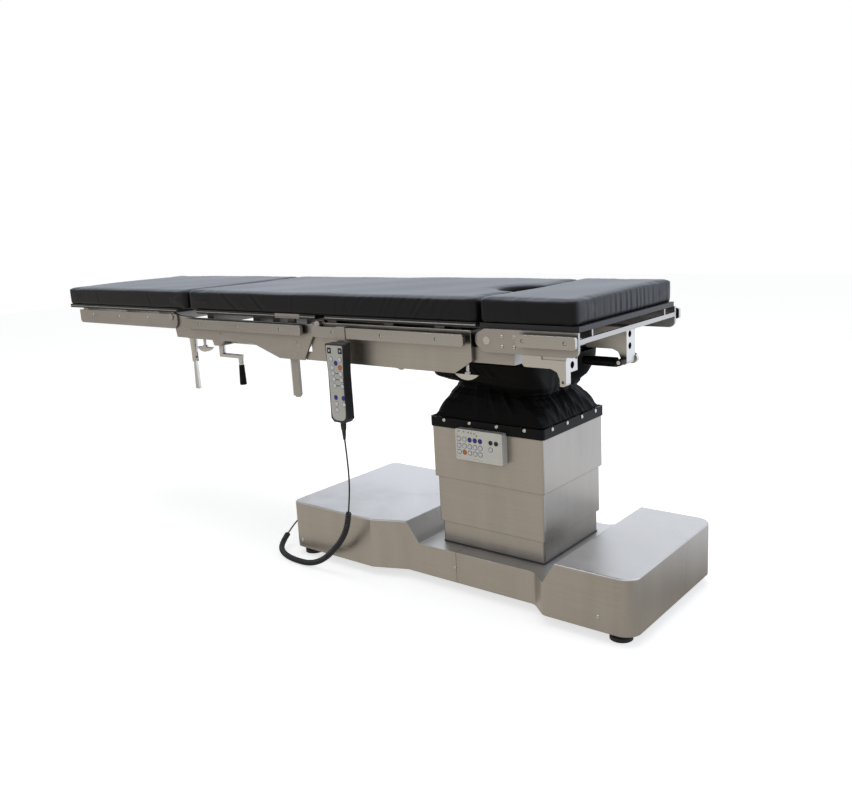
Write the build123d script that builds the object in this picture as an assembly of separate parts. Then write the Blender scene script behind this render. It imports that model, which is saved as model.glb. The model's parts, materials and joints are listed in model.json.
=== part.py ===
from build123d import *
from math import atan, cos, dist, pi, radians, sin, tan
import os

os.makedirs("parts", exist_ok=True)

# Operating table. X runs along the table top, Y across it and Z is up. The origin lies on the floor, midway
# between the head end of the table top and the right end of the base. The near side is the one at -Y.

# Clearances and cutting overrun
overrun = 1.0
flat_fit = 0.3
running_fit = 0.05
slide_fit = 0.5
soft_fit = 0.3

# Lengths along the table
base_length = 1090.0
head_pad_length = 700.0
back_pad_length = 576.0
seat_pad_length = 520.0
leg_pad_length = 264.0
column_setback = 440.0
column_seam_setback = 60.0
column_to_head_length = head_pad_length + back_pad_length + seat_pad_length - column_seam_setback
table_left_x = -(column_to_head_length + column_setback) / 2
head_seam_x = table_left_x + head_pad_length
back_hinge_x = head_seam_x + back_pad_length
leg_seam_x = back_hinge_x + seat_pad_length
table_right_x = leg_seam_x + leg_pad_length
column_x = leg_seam_x - column_seam_setback
base_right_x = column_x + column_setback
base_left_x = base_right_x - base_length

# Table top levels and widths
board_z = 707.0
board_thickness = 12.0
pad_z = board_z + board_thickness
pad_thickness = 58.0
pad_width = 500.0
half_table = pad_width / 2
board_margin = 9.0
board_seam_gap = 6.0
rail_z = 679.0
rail_height = 28.0
rail_thickness = 10.0
rail_stand_off = 10.0
plate_thickness = 6.0
side_gap = 0.5

# Base casing
casing_bottom_z = 24.0
block_top_z = 162.0
waist_top_z = 107.6
casing_wall = 2.5
block_half_width = 229.5
waist_half_width = 190.5
left_block_setback = 339.0
left_block_end_x = column_x - left_block_setback
left_flare_length = 96.0
left_slope_length = 42.0
right_flare_setback = 160.0
right_flare_x = column_x + right_flare_setback
right_flare_length = 47.0
right_slope_length = 34.0
casing_left_corner = 25.0
casing_right_corner = 40.0
casing_flare_corner = 30.0
casing_edge_round = 4.0
casing_seam_setback = 77.0
casing_seam_x = column_x - casing_seam_setback
casing_seam_gap = 0.8
casing_hole_margin = 26.0

# Chassis and feet
chassis_thickness = 20.0
chassis_top_z = casing_bottom_z + chassis_thickness
foot_radius = 27.0
foot_pad_height = 12.0
foot_stem_radius = 9.0
foot_collar_radius = 17.0
foot_collar_height = 5.0
foot_inset_left = 36.0
foot_inset_right = 50.0
foot_half_spread = 188.0

# Column covers, from the outermost down to the fixed one
cover_half_x = 168.6
cover_half_y = 147.7
cover_corner = 7.0
cover_wall = 1.5
middle_cover_inset = 5.9
lower_cover_inset = 11.6
upper_cover_top_z = 454.0
upper_cover_bottom_z = 292.0
middle_cover_bottom_z = 167.0
middle_cover_height = 219.0
lower_cover_height = 169.0
strip_height = 26.0
strip_thickness = 3.0
strip_rise = 0.5
strip_corner = 9.0

# Column tubes and lifting ram
outer_tube_x = 200.0
outer_tube_y = 160.0
tube_wall = 8.0
outer_tube_height = 252.0
middle_tube_bottom_z = 103.0
middle_tube_height = 269.0
inner_tube_bottom_z = 160.0
cover_ring_z = 352.0
cover_ring_thickness = 4.0
ram_barrel_radius = 35.0
ram_stage_radius = 26.0
ram_rod_radius = 17.0
ram_barrel_height = 248.0
ram_foot_height = 12.0

# Column head, tilt cross and saddle
head_plate_thickness = 8.0
head_plate_z = upper_cover_top_z - strip_height / 2 + overrun
tilt_z = 520.0
ear_radius = 30.0
ear_thickness = 20.0
ear_inner = 72.0
trunnion_radius = 20.0
cross_half = 45.0
cross_half_height = 32.0
saddle_half_x = 120.0
saddle_half_y = 152.0
saddle_z = 592.0
saddle_thickness = 12.0
shoe_centre_y = 135.0
shoe_width = 36.0
shoe_height = 30.0
shoe_length = 44.0
shoe_spread = 87.0
guide_foot_width = 20.0
guide_foot_height = 8.0
guide_web_width = 9.0
guide_lift = 5.0

# Seat section
seat_cover_overhang = 36.0
cover_left_x = back_hinge_x - seat_cover_overhang
seat_cover_top_z = 700.0
seat_cover_bottom_z = 595.0
seat_cover_depth = 38.5
seat_cover_wall = 3.0
seat_cover_tab_length = 26.0
seat_cover_tab_height = 23.0
seat_cover_setback = 20.0
seat_cover_right_x = leg_seam_x - seat_cover_setback
seat_cover_relief_length = 14.0
seat_cover_relief_height = 4.0
seat_cover_corner_x = 52.0
seat_cover_corner_z = 32.0
seat_beam_outer_y = 232.0
seat_beam_depth = 26.0
seat_beam_z = 623.0
seat_beam_height = 37.0
seat_beam_left_overhang = 12.0
seat_beam_right_overhang = 92.0
seat_beam_left_x = back_hinge_x - seat_beam_left_overhang
seat_beam_right_x = leg_seam_x + seat_beam_right_overhang
cross_bar_height = 35.0
cross_bar_length = 30.0
seat_bar_shares = (0.08, 0.40, 0.66)
seat_low_bar_height = 27.0

# Back section
back_hinge_z = 696.0
hinge_pin_radius = 6.0
knuckle_radius = 9.5
knuckle_head = 3.0
back_plate_overhang = 8.0
back_plate_left_x = head_seam_x - back_plate_overhang
back_plate_top_z = 695.0
back_plate_bottom_z = 630.0
back_tail_bottom_z = 594.0
back_tail_setback = 64.0
back_tail_length = 100.0
back_tail_slope_length = 111.0
back_tail_right_x = back_hinge_x - back_tail_setback
back_tail_left_x = back_tail_right_x - back_tail_length
back_tail_start_x = back_tail_left_x - back_tail_slope_length
back_diagonal_setback = 30.0
back_diagonal_x = back_hinge_x - back_diagonal_setback
back_diagonal_z = 651.0
boss_bottom_z = 614.0
boss_setback = 114.0
boss_length = 54.0
boss_left_x = head_seam_x + boss_setback
boss_right_x = boss_left_x + boss_length
boss_slope = 14.0
back_beam_z = 640.0
back_beam_height = 50.0
back_beam_depth = 30.0
back_beam_wall = 3.0
back_beam_setback = 70.0
back_beam_right_x = back_hinge_x - back_beam_setback
back_board_setback = 38.0
back_board_left_x = head_seam_x + back_board_setback
back_bar_shares = (0.06, 0.46, 0.62)

# Head section
head_hinge_setback = 81.0
head_hinge_x = head_seam_x - head_hinge_setback
head_hinge_z = 694.0
head_plate_setback = 78.0
head_plate_left_x = table_left_x + head_plate_setback
head_plate_rise = 8.0
head_plate_height = 44.5
head_plate_top = head_hinge_z + head_plate_rise
head_plate_bottom = head_plate_top - head_plate_height
head_plate_end = 28.0
head_plate_corner = 12.0
head_board_overhang = 22.0
head_board_right_x = head_hinge_x + head_board_overhang
head_bar_shares = (0.06, 0.50, 0.84)
hinge_lug_thickness = 12.0
hinge_lug_radius = 12.0
hinge_block_bottom_z = 630.0

# Leg extension
leg_hinge_setback = 29.0
leg_hinge_x = leg_seam_x + leg_hinge_setback
leg_hinge_z = 680.0
leg_arm_radius = 27.0
leg_arm_overhang = 2.0
leg_arm_right_x = table_right_x + leg_arm_overhang
leg_arm_wall = 8.0
leg_arm_corner = 16.0
leg_bolt_radius = 9.5
leg_bar_height = 11.0
leg_bar_thickness = 6.0
leg_bar_rise = 1.0
leg_bar_z = leg_hinge_z + leg_bar_rise

# Spacers, screws and small hardware
spacer_radius = 6.0
screw_radius = 4.5
screw_head = 2.2


def block(x0, x1, y0, y1, z0, z1):
    """A box between two corners."""
    return Pos((x0 + x1) / 2, (y0 + y1) / 2, (z0 + z1) / 2) * Box(x1 - x0, y1 - y0, z1 - z0)


def rod_x(x0, x1, y, z, radius):
    """A cylinder along X."""
    return Pos((x0 + x1) / 2, y, z) * Rot(0, 90, 0) * Cylinder(radius, x1 - x0)


def rod_y(y0, y1, x, z, radius):
    """A cylinder along Y."""
    return Pos(x, (y0 + y1) / 2, z) * Rot(90, 0, 0) * Cylinder(radius, y1 - y0)


def rod_z(z0, z1, x, y, radius):
    """A cylinder along Z."""
    return Pos(x, y, (z0 + z1) / 2) * Cylinder(radius, z1 - z0)


def side_profile(points, y0, y1):
    """A plate between y0 and y1 with the given outline of (x, z) points."""
    face = make_face(Polyline(*points, close=True))
    return extrude(Plane.XZ.offset(-y1) * face, amount=y1 - y0)


def end_profile(points, x0, x1):
    """A bar between x0 and x1 with the given outline of (y, z) points."""
    face = make_face(Polyline(*points, close=True))
    return extrude(Plane.YZ.offset(x0) * face, amount=x1 - x0)


def plan_profile(points, z0, z1, corner_radii=()):
    """A slab between z0 and z1 with the given plan outline; corner_radii rounds the corners near (x, y)."""
    face = make_face(Polyline(*points, close=True))
    for x, y, radius in corner_radii:
        corner = face.vertices().sort_by_distance(Vector(x, y, 0))[0]
        face = fillet(corner, radius)
    return extrude(Plane.XY.offset(z0) * face, amount=z1 - z0)


def across(shape):
    """The shape and its mirror image on the other side of the table."""
    return [shape, mirror(shape, about=Plane.XZ)]


def crosswise_round(shape, x, z, radius):
    """Round the edge across the table nearest to (x, z)."""
    edges = shape.edges().filter_by(Axis.Y)
    edge = edges.sort_by(lambda e: (e.center().X - x) ** 2 + (e.center().Z - z) ** 2)[0]
    return fillet(edge, radius)


def save(name, *shapes):
    """Write one node as a STEP file holding its separate solids."""
    solids = []
    for shape in shapes:
        solids.extend(shape.solids())
    body = solids[0] if len(solids) == 1 else Compound(solids)
    export_step(body, f"parts/{name}.step")


# Base casing


def casing_volume(inset, bottom_z):
    """The base's outer form, drawn in by inset: plan outline crossed with side outline."""
    left_x = base_left_x + inset
    right_x = base_right_x - inset
    wide = block_half_width - inset
    narrow = waist_half_width - inset
    waist_left_x = left_block_end_x + left_flare_length
    waist_right_x = right_flare_x
    block_right_x = right_flare_x + right_flare_length
    half = [(left_x, wide), (left_block_end_x, wide), (waist_left_x, narrow), (waist_right_x, narrow),
            (block_right_x, wide), (right_x, wide)]
    outline = [(x, -y) for x, y in half] + [(x, y) for x, y in reversed(half)]
    corners = []
    for side in (-1, 1):
        corners.append((left_x, side * wide, casing_left_corner - inset))
        corners.append((right_x, side * wide, casing_right_corner - inset))
        corners.append((block_right_x, side * wide, casing_flare_corner))
        corners.append((waist_right_x, side * narrow, casing_flare_corner))
    top_z = block_top_z - inset
    dip_z = waist_top_z - inset
    slab = plan_profile(outline, bottom_z, top_z, corners)
    slope_right_x = block_right_x + right_slope_length
    side = [(left_x - overrun, bottom_z - overrun), (left_x - overrun, top_z + overrun),
            (waist_left_x, top_z + overrun), (waist_left_x, top_z), (waist_left_x + left_slope_length, dip_z),
            (block_right_x, dip_z), (slope_right_x, top_z), (slope_right_x, top_z + overrun),
            (right_x + overrun, top_z + overrun), (right_x + overrun, bottom_z - overrun)]
    return slab & side_profile(side, -wide - overrun, wide + overrun)


socket_y = -130.0
socket_z = 84.0
socket_radius = 15.0
inlet_y = 110.0
inlet_width = 48.0
inlet_height = 28.0
inlet_depth = 34.0
inlet_flange = 5.0
inlet_flange_thickness = 3.0
inlet_pocket_width = 26.0
inlet_pocket_height = 18.0
inlet_pocket_depth = 20.0
inlet_pin_radius = 1.5
inlet_pin_spacing = 7.0


def make_casing():
    outer = casing_volume(0, casing_bottom_z)
    tops = outer.faces().filter_by(Axis.Z).filter_by(lambda f: f.center().Z > waist_top_z + overrun)
    rims = [e for f in tops for e in f.edges() if e.center().Z > block_top_z - overrun]
    outer = fillet(rims, casing_edge_round)
    inner = casing_volume(casing_wall, casing_bottom_z - overrun)
    hole_x = cover_half_x - lower_cover_inset - casing_hole_margin
    hole_y = cover_half_y - lower_cover_inset - casing_hole_margin
    hole = block(column_x - hole_x, column_x + hole_x, -hole_y, hole_y, waist_top_z - 2 * casing_wall,
                 waist_top_z + overrun)
    socket_hole = rod_x(base_left_x - overrun, base_left_x + 2 * casing_wall, socket_y, socket_z,
                        socket_radius + running_fit)
    inlet_hole = block(base_left_x - overrun, base_left_x + 2 * casing_wall,
                       inlet_y - inlet_width / 2 - flat_fit, inlet_y + inlet_width / 2 + flat_fit,
                       socket_z - inlet_height / 2 - flat_fit, socket_z + inlet_height / 2 + flat_fit)
    shell = outer - inner - hole - socket_hole - inlet_hole
    past = block_half_width + overrun
    left = block(base_left_x - overrun, casing_seam_x - casing_seam_gap / 2, -past, past, 0,
                 block_top_z + overrun)
    right = block(casing_seam_x + casing_seam_gap / 2, base_right_x + overrun, -past, past, 0,
                  block_top_z + overrun)
    save("base_casing_left", shell & left)
    save("base_casing_right", shell & right)


# Chassis, feet and the sealed units inside the base


def foot_places():
    left_x = base_left_x + foot_inset_left
    right_x = base_right_x - foot_inset_right
    return [(x, side * foot_half_spread) for x in (left_x, right_x) for side in (-1, 1)]


def make_chassis():
    gap = casing_wall + flat_fit
    plate = casing_volume(gap, casing_bottom_z)
    plate = plate & block(base_left_x, base_right_x, -block_half_width, block_half_width, casing_bottom_z,
                          chassis_top_z)
    for x, y in foot_places():
        plate = plate - rod_z(casing_bottom_z - overrun, chassis_top_z + overrun, x, y, foot_stem_radius)
    save("chassis_plate", plate)


def make_feet():
    feet = []
    for x, y in foot_places():
        pad = rod_z(0, foot_pad_height, x, y, foot_radius)
        pad = chamfer(pad.edges().sort_by(Axis.Z)[-1], foot_pad_height / 4)
        collar = rod_z(foot_pad_height, foot_pad_height + foot_collar_height, x, y, foot_collar_radius)
        stem = rod_z(foot_pad_height, chassis_top_z, x, y, foot_stem_radius)
        feet.append(pad + collar + stem)
    save("levelling_feet", *feet)


power_unit_length = 150.0
power_unit_width = 240.0
power_unit_height = 96.0
power_unit_gap = 100.0
power_unit_x = column_x - cover_half_x + lower_cover_inset - power_unit_gap - power_unit_length
power_lid_height = 6.0
power_lid_lip = 4.0
battery_length = 90.0
battery_width = 150.0
battery_height = 90.0
battery_setback = 40.0
battery_x = base_right_x - battery_setback - battery_length
battery_gap = 12.0
terminal_radius = 6.0
terminal_height = 8.0


def make_base_units():
    case = block(power_unit_x, power_unit_x + power_unit_length, -power_unit_width / 2, power_unit_width / 2,
                 chassis_top_z, chassis_top_z + power_unit_height)
    lid_z = chassis_top_z + power_unit_height
    lid = block(power_unit_x - power_lid_lip, power_unit_x + power_unit_length + power_lid_lip,
                -power_unit_width / 2 - power_lid_lip, power_unit_width / 2 + power_lid_lip, lid_z,
                lid_z + power_lid_height)
    save("power_unit", case + lid)
    batteries = []
    for side in (-1, 1):
        centre_y = side * (battery_width + battery_gap) / 2
        cell = block(battery_x, battery_x + battery_length, centre_y - battery_width / 2,
                     centre_y + battery_width / 2, chassis_top_z, chassis_top_z + battery_height)
        for share in (-0.25, 0.25):
            post_y = centre_y + share * battery_width
            cell_top_z = chassis_top_z + battery_height
            cell = cell + rod_z(cell_top_z, cell_top_z + terminal_height, battery_x + battery_length / 2, post_y,
                                terminal_radius)
        batteries.append(cell)
    save("battery_pack", *batteries)


socket_flange_radius = 19.0
socket_flange_thickness = 3.0
socket_depth = 26.0
socket_bore_radius = 9.0
socket_bore_depth = 18.0


def make_sockets():
    face_x = base_left_x
    body = rod_x(face_x, face_x + socket_depth, socket_y, socket_z, socket_radius)
    flange = rod_x(face_x - socket_flange_thickness, face_x, socket_y, socket_z, socket_flange_radius)
    mouth_x = face_x - socket_flange_thickness
    bore = rod_x(mouth_x - overrun, mouth_x + socket_bore_depth, socket_y, socket_z, socket_bore_radius)
    handset_socket = body + flange - bore
    half_w = inlet_width / 2
    half_h = inlet_height / 2
    case = block(face_x, face_x + inlet_depth, inlet_y - half_w, inlet_y + half_w, socket_z - half_h,
                 socket_z + half_h)
    rim = block(face_x - inlet_flange_thickness, face_x, inlet_y - half_w - inlet_flange,
                inlet_y + half_w + inlet_flange, socket_z - half_h - inlet_flange,
                socket_z + half_h + inlet_flange)
    pocket = block(face_x - inlet_flange_thickness - overrun,
                   face_x - inlet_flange_thickness + inlet_pocket_depth,
                   inlet_y - inlet_pocket_width / 2, inlet_y + inlet_pocket_width / 2,
                   socket_z - inlet_pocket_height / 2, socket_z + inlet_pocket_height / 2)
    inlet = case + rim - pocket
    for step in (-1, 0, 1):
        inlet = inlet + rod_x(face_x, face_x + inlet_pocket_depth, inlet_y + step * inlet_pin_spacing, socket_z,
                              inlet_pin_radius)
    save("base_sockets", handset_socket, inlet)


# Telescoping covers


def rounded_tube(half_x, half_y, corner, wall, z0, z1):
    """An upright rectangular tube round the column's centre line."""
    outer = RectangleRounded(2 * half_x, 2 * half_y, corner)
    inner = RectangleRounded(2 * (half_x - wall), 2 * (half_y - wall), max(corner - wall, wall))
    return extrude(Pos(column_x, 0, z0) * (outer - inner), amount=z1 - z0)


def make_covers():
    lower_half_x = cover_half_x - lower_cover_inset
    lower_half_y = cover_half_y - lower_cover_inset
    save("lower_cover", rounded_tube(lower_half_x, lower_half_y, cover_corner, cover_wall, waist_top_z,
                                     waist_top_z + lower_cover_height))
    half_x = cover_half_x - middle_cover_inset
    half_y = cover_half_y - middle_cover_inset
    skin = rounded_tube(half_x, half_y, cover_corner, cover_wall, middle_cover_bottom_z,
                        middle_cover_bottom_z + middle_cover_height)
    ring = block(column_x - half_x + cover_wall / 2, column_x + half_x - cover_wall / 2,
                 -half_y + cover_wall / 2, half_y - cover_wall / 2, cover_ring_z,
                 cover_ring_z + cover_ring_thickness)
    middle_x = outer_tube_x / 2 - tube_wall - slide_fit + flat_fit
    middle_y = outer_tube_y / 2 - tube_wall - slide_fit + flat_fit
    hole = block(column_x - middle_x, column_x + middle_x, -middle_y, middle_y, cover_ring_z - overrun,
                 cover_ring_z + cover_ring_thickness + overrun)
    save("middle_cover", skin + (ring - hole))
    save("upper_cover", rounded_tube(cover_half_x, cover_half_y, cover_corner, cover_wall, upper_cover_bottom_z,
                                     upper_cover_top_z))
    strip = rounded_tube(cover_half_x + flat_fit + strip_thickness, cover_half_y + flat_fit + strip_thickness,
                         strip_corner, strip_thickness, upper_cover_top_z + strip_rise - strip_height,
                         upper_cover_top_z + strip_rise)
    save("clamp_strip", strip)


strip_screw_shares = (-0.74, -0.26, 0.23, 0.71)
strip_screw_radius = 5.0
strip_screw_height = 2.5


def make_strip_screws():
    """Four dome-headed screws on each side of the strip, seated on its outer face."""
    level = upper_cover_top_z + strip_rise - strip_height / 4
    face_x = cover_half_x + flat_fit + strip_thickness
    face_y = cover_half_y + flat_fit + strip_thickness
    heads = []
    for share in strip_screw_shares:
        for side in (-1, 1):
            x = column_x + share * cover_half_x
            heads.append(rod_y(min(side * face_y, side * (face_y + strip_screw_height)),
                               max(side * face_y, side * (face_y + strip_screw_height)), x, level,
                               strip_screw_radius))
            y = share * cover_half_y
            near = column_x + side * face_x
            far = column_x + side * (face_x + strip_screw_height)
            heads.append(rod_x(min(near, far), max(near, far), y, level, strip_screw_radius))
    domed = []
    for head in heads:
        outer = head.edges().filter_by(GeomType.CIRCLE)
        outer = outer.sort_by(lambda e: (e.center().X - column_x) ** 2 + e.center().Y ** 2)[-1]
        domed.append(chamfer(outer, strip_screw_height / 2))
    save("strip_screws", *domed)


# Telescoping tubes and lifting ram


def square_tube(size_x, size_y, z0, z1):
    outer = block(column_x - size_x / 2, column_x + size_x / 2, -size_y / 2, size_y / 2, z0, z1)
    bore_x = size_x / 2 - tube_wall
    bore_y = size_y / 2 - tube_wall
    return outer - block(column_x - bore_x, column_x + bore_x, -bore_y, bore_y, z0 - overrun, z1 + overrun)


def ring_tube(outer_radius, inner_radius, z0, z1):
    bore = rod_z(z0 - overrun, z1 + overrun, column_x, 0, inner_radius)
    return rod_z(z0, z1, column_x, 0, outer_radius) - bore


def make_column():
    step = 2 * (tube_wall + slide_fit)
    outer_top_z = chassis_top_z + outer_tube_height
    save("column_outer_tube", square_tube(outer_tube_x, outer_tube_y, chassis_top_z, outer_top_z))
    save("column_middle_tube", square_tube(outer_tube_x - step, outer_tube_y - step, middle_tube_bottom_z,
                                           middle_tube_bottom_z + middle_tube_height))
    save("column_inner_tube", square_tube(outer_tube_x - 2 * step, outer_tube_y - 2 * step, inner_tube_bottom_z,
                                          head_plate_z))
    barrel = ring_tube(ram_barrel_radius, ram_stage_radius + running_fit, chassis_top_z,
                       chassis_top_z + ram_barrel_height)
    barrel = barrel + rod_z(chassis_top_z, chassis_top_z + ram_foot_height / 4, column_x, 0,
                            ram_stage_radius + casing_wall)
    save("lift_ram_barrel", barrel)
    save("lift_ram_stage", ring_tube(ram_stage_radius, ram_rod_radius + running_fit, middle_tube_bottom_z,
                                     middle_tube_bottom_z + middle_tube_height))
    save("lift_ram_rod", rod_z(inner_tube_bottom_z, head_plate_z, column_x, 0, ram_rod_radius))


# Column head, tilt cross and saddle


def ear_profile(centre, half_width, base_level, tip_level):
    """Outline of an ear: straight sides from its base to the pin, where a round end is added."""
    return [(centre - half_width, base_level), (centre + half_width, base_level),
            (centre + half_width, tip_level), (centre - half_width, tip_level)]


def make_column_head():
    plate_x = cover_half_x - cover_wall - flat_fit
    plate_y = cover_half_y - cover_wall - flat_fit
    plate = block(column_x - plate_x, column_x + plate_x, -plate_y, plate_y, head_plate_z,
                  head_plate_z + head_plate_thickness)
    plate = fillet(plate.edges().filter_by(Axis.Z), cover_corner)
    base_z = head_plate_z + head_plate_thickness / 2
    head = plate
    for ear in across(side_profile(ear_profile(column_x, ear_radius, base_z, tilt_z), ear_inner,
                                   ear_inner + ear_thickness)):
        head = head + ear
    for round_end in across(rod_y(ear_inner, ear_inner + ear_thickness, column_x, tilt_z, ear_radius)):
        head = head + round_end
    for bore in across(rod_y(ear_inner - overrun, ear_inner + ear_thickness + overrun, column_x, tilt_z,
                             trunnion_radius + running_fit)):
        head = head - bore
    save("column_head", head)


def make_tilt_cross():
    core = block(column_x - cross_half, column_x + cross_half, -cross_half, cross_half,
                 tilt_z - cross_half_height, tilt_z + cross_half_height)
    core = chamfer(core.edges().filter_by(Axis.Z), cross_half / 4)
    reach = ear_inner + ear_thickness
    core = core + rod_y(-reach, reach, column_x, tilt_z, trunnion_radius)
    core = core + rod_x(column_x - reach, column_x + reach, 0, tilt_z, trunnion_radius)
    save("tilt_cross", core)


def make_saddle():
    top_z = saddle_z + saddle_thickness
    plate = block(column_x - saddle_half_x, column_x + saddle_half_x, -saddle_half_y, saddle_half_y, saddle_z,
                  top_z)
    plate = chamfer(plate.edges().filter_by(Axis.Z), ear_radius / 2)
    saddle = plate
    base_z = saddle_z + saddle_thickness / 2
    for side in (-1, 1):
        near_x = column_x + side * ear_inner
        far_x = column_x + side * (ear_inner + ear_thickness)
        low_x = min(near_x, far_x)
        high_x = max(near_x, far_x)
        saddle = saddle + end_profile(ear_profile(0, ear_radius, tilt_z, base_z), low_x, high_x)
        saddle = saddle + rod_x(low_x, high_x, 0, tilt_z, ear_radius)
        saddle = saddle - rod_x(low_x - overrun, high_x + overrun, 0, tilt_z, trunnion_radius + running_fit)
    foot_low = top_z + guide_lift - flat_fit
    foot_high = top_z + guide_lift + guide_foot_height + flat_fit
    foot_half = guide_foot_width / 2 + flat_fit
    web_half = guide_web_width / 2 + flat_fit
    for end in (-1, 1):
        shoe_x = column_x + end * shoe_spread
        for side in (-1, 1):
            y = side * shoe_centre_y
            shoe = block(shoe_x - shoe_length / 2, shoe_x + shoe_length / 2, y - shoe_width / 2,
                         y + shoe_width / 2, base_z, top_z + shoe_height)
            past = shoe_length / 2 + overrun
            shoe = shoe - block(shoe_x - past, shoe_x + past, y - foot_half, y + foot_half, foot_low, foot_high)
            shoe = shoe - block(shoe_x - past, shoe_x + past, y - web_half, y + web_half, foot_low,
                                top_z + shoe_height + overrun)
            saddle = saddle + shoe
    save("saddle", saddle)


# Accessory rails


def rail(x0, x1, z, screw_shares, carrier_y):
    """A flat rail with rounded ends on spacers that stand on its carrier, on the near side."""
    face_y = -half_table - rail_stand_off
    bar = block(x0, x1, face_y - rail_thickness, face_y, z - rail_height / 2, z + rail_height / 2)
    edges = bar.edges().filter_by(Axis.Y)
    bar = fillet(edges, rail_height / 4)
    for share in screw_shares:
        x = x0 + share * (x1 - x0)
        bar = bar + rod_y(face_y - overrun, -carrier_y, x, z, spacer_radius)
        bar = bar - rod_y(face_y - rail_thickness - overrun, face_y - rail_thickness + screw_head, x, z,
                          screw_radius)
    return bar


seat_rail_end_length = 4.0
back_rail_left_setback = 12.0
back_rail_right_setback = 50.0
leg_rail_setback = 90.0
leg_rail_overhang = 4.0
leg_rail_rise = 8.0
seat_rail_left_x = back_hinge_x - seat_rail_end_length
seat_rail_right_x = seat_cover_right_x - seat_rail_end_length
back_rail_left_x = back_plate_left_x + back_rail_left_setback
back_rail_right_x = back_hinge_x - back_rail_right_setback
leg_rail_left_x = leg_hinge_x + leg_rail_setback
leg_rail_right_x = leg_arm_right_x + leg_rail_overhang
leg_rail_z = rail_z + leg_rail_rise
rail_screw_shares = (0.15, 0.49, 0.84)
leg_rail_screw_shares = (0.13, 0.83)


def make_rails():
    cover_y = half_table - plate_thickness - side_gap
    seat = rail(seat_rail_left_x, seat_rail_right_x, rail_z, rail_screw_shares, cover_y)
    back = rail(back_rail_left_x, back_rail_right_x, rail_z, rail_screw_shares, half_table)
    leg = rail(leg_rail_left_x, leg_rail_right_x, leg_rail_z, leg_rail_screw_shares, half_table)
    save("seat_rails", *across(seat))
    save("back_rails", *across(back))
    save("leg_rails", *across(leg))


# Seat section


def bar_places(left_x, right_x, shares):
    return [left_x + share * (right_x - left_x) for share in shares]


def cross_bars(left_x, right_x, shares, reach, z0):
    """Bars across the table under the board."""
    bars = []
    for x in bar_places(left_x, right_x, shares):
        bars.append(block(x - cross_bar_length / 2, x + cross_bar_length / 2, -reach, reach, z0, board_z))
    return bars


seat_lug_depth = 12.0
leg_lug_half_height = 20.0
leg_lug_reach = 38.0
leg_lug_right = 14.0
guide_end_inset = 4.0


def make_seat_frame():
    beam_inner_y = seat_beam_outer_y - seat_beam_depth
    beam_top_z = seat_beam_z + seat_beam_height
    frame = None
    bar_z = board_z - cross_bar_height
    bars = cross_bars(seat_beam_left_x, seat_beam_right_x, seat_bar_shares, seat_beam_outer_y - overrun, bar_z)
    bars.append(block(seat_beam_right_x - cross_bar_length, seat_beam_right_x, -beam_inner_y - overrun,
                      beam_inner_y + overrun, seat_beam_z, seat_beam_z + seat_low_bar_height))
    for bar in bars:
        frame = bar if frame is None else frame + bar
    posts = []
    for x in bar_places(seat_beam_left_x, seat_beam_right_x, seat_bar_shares):
        posts.append(block(x - cross_bar_length / 2, x + cross_bar_length / 2, beam_inner_y, seat_beam_outer_y,
                           beam_top_z - overrun, board_z - overrun))
    pieces = list(posts)
    pieces.append(block(seat_beam_left_x, seat_beam_right_x, beam_inner_y, seat_beam_outer_y, seat_beam_z,
                        beam_top_z))
    pieces.append(block(back_hinge_x - knuckle_radius, back_hinge_x + knuckle_radius,
                        seat_beam_outer_y - seat_lug_depth, seat_beam_outer_y, beam_top_z - overrun,
                        back_hinge_z))
    pieces.append(rod_y(seat_beam_outer_y - seat_lug_depth, seat_beam_outer_y, back_hinge_x, back_hinge_z,
                        knuckle_radius))
    lug_y = seat_beam_outer_y - overrun
    lug = block(leg_hinge_x - leg_lug_reach, leg_hinge_x + leg_lug_right, lug_y,
                half_table - leg_arm_wall - side_gap, leg_hinge_z - leg_lug_half_height,
                leg_hinge_z + leg_lug_half_height)
    lug = crosswise_round(lug, leg_hinge_x - leg_lug_reach, leg_hinge_z + leg_lug_half_height,
                          leg_lug_half_height * 0.9)
    lug = crosswise_round(lug, leg_hinge_x - leg_lug_reach, leg_hinge_z - leg_lug_half_height,
                          leg_lug_half_height * 0.9)
    pieces.append(lug)
    pieces.append(block(leg_hinge_x - leg_lug_reach, leg_hinge_x + leg_lug_right, beam_inner_y,
                        seat_beam_outer_y, beam_top_z - overrun, leg_hinge_z + leg_lug_half_height / 2))
    guide_low = saddle_z + saddle_thickness + guide_lift
    left_x = seat_beam_left_x + guide_end_inset
    right_x = seat_beam_right_x - guide_end_inset
    pieces.append(block(left_x, right_x, shoe_centre_y - guide_foot_width / 2,
                        shoe_centre_y + guide_foot_width / 2, guide_low, guide_low + guide_foot_height))
    pieces.append(block(left_x, right_x, shoe_centre_y - guide_web_width / 2,
                        shoe_centre_y + guide_web_width / 2, guide_low + guide_foot_height / 2,
                        bar_z + overrun))
    for piece in pieces:
        for copy in across(piece):
            frame = frame + copy
    for x, z, radius in ((back_hinge_x, back_hinge_z, hinge_pin_radius),
                         (leg_hinge_x, leg_hinge_z, leg_bolt_radius)):
        hole = rod_y(beam_inner_y - overrun, half_table, x, z, radius)
        for copy in across(hole):
            frame = frame - copy
    save("seat_frame", frame)


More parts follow.
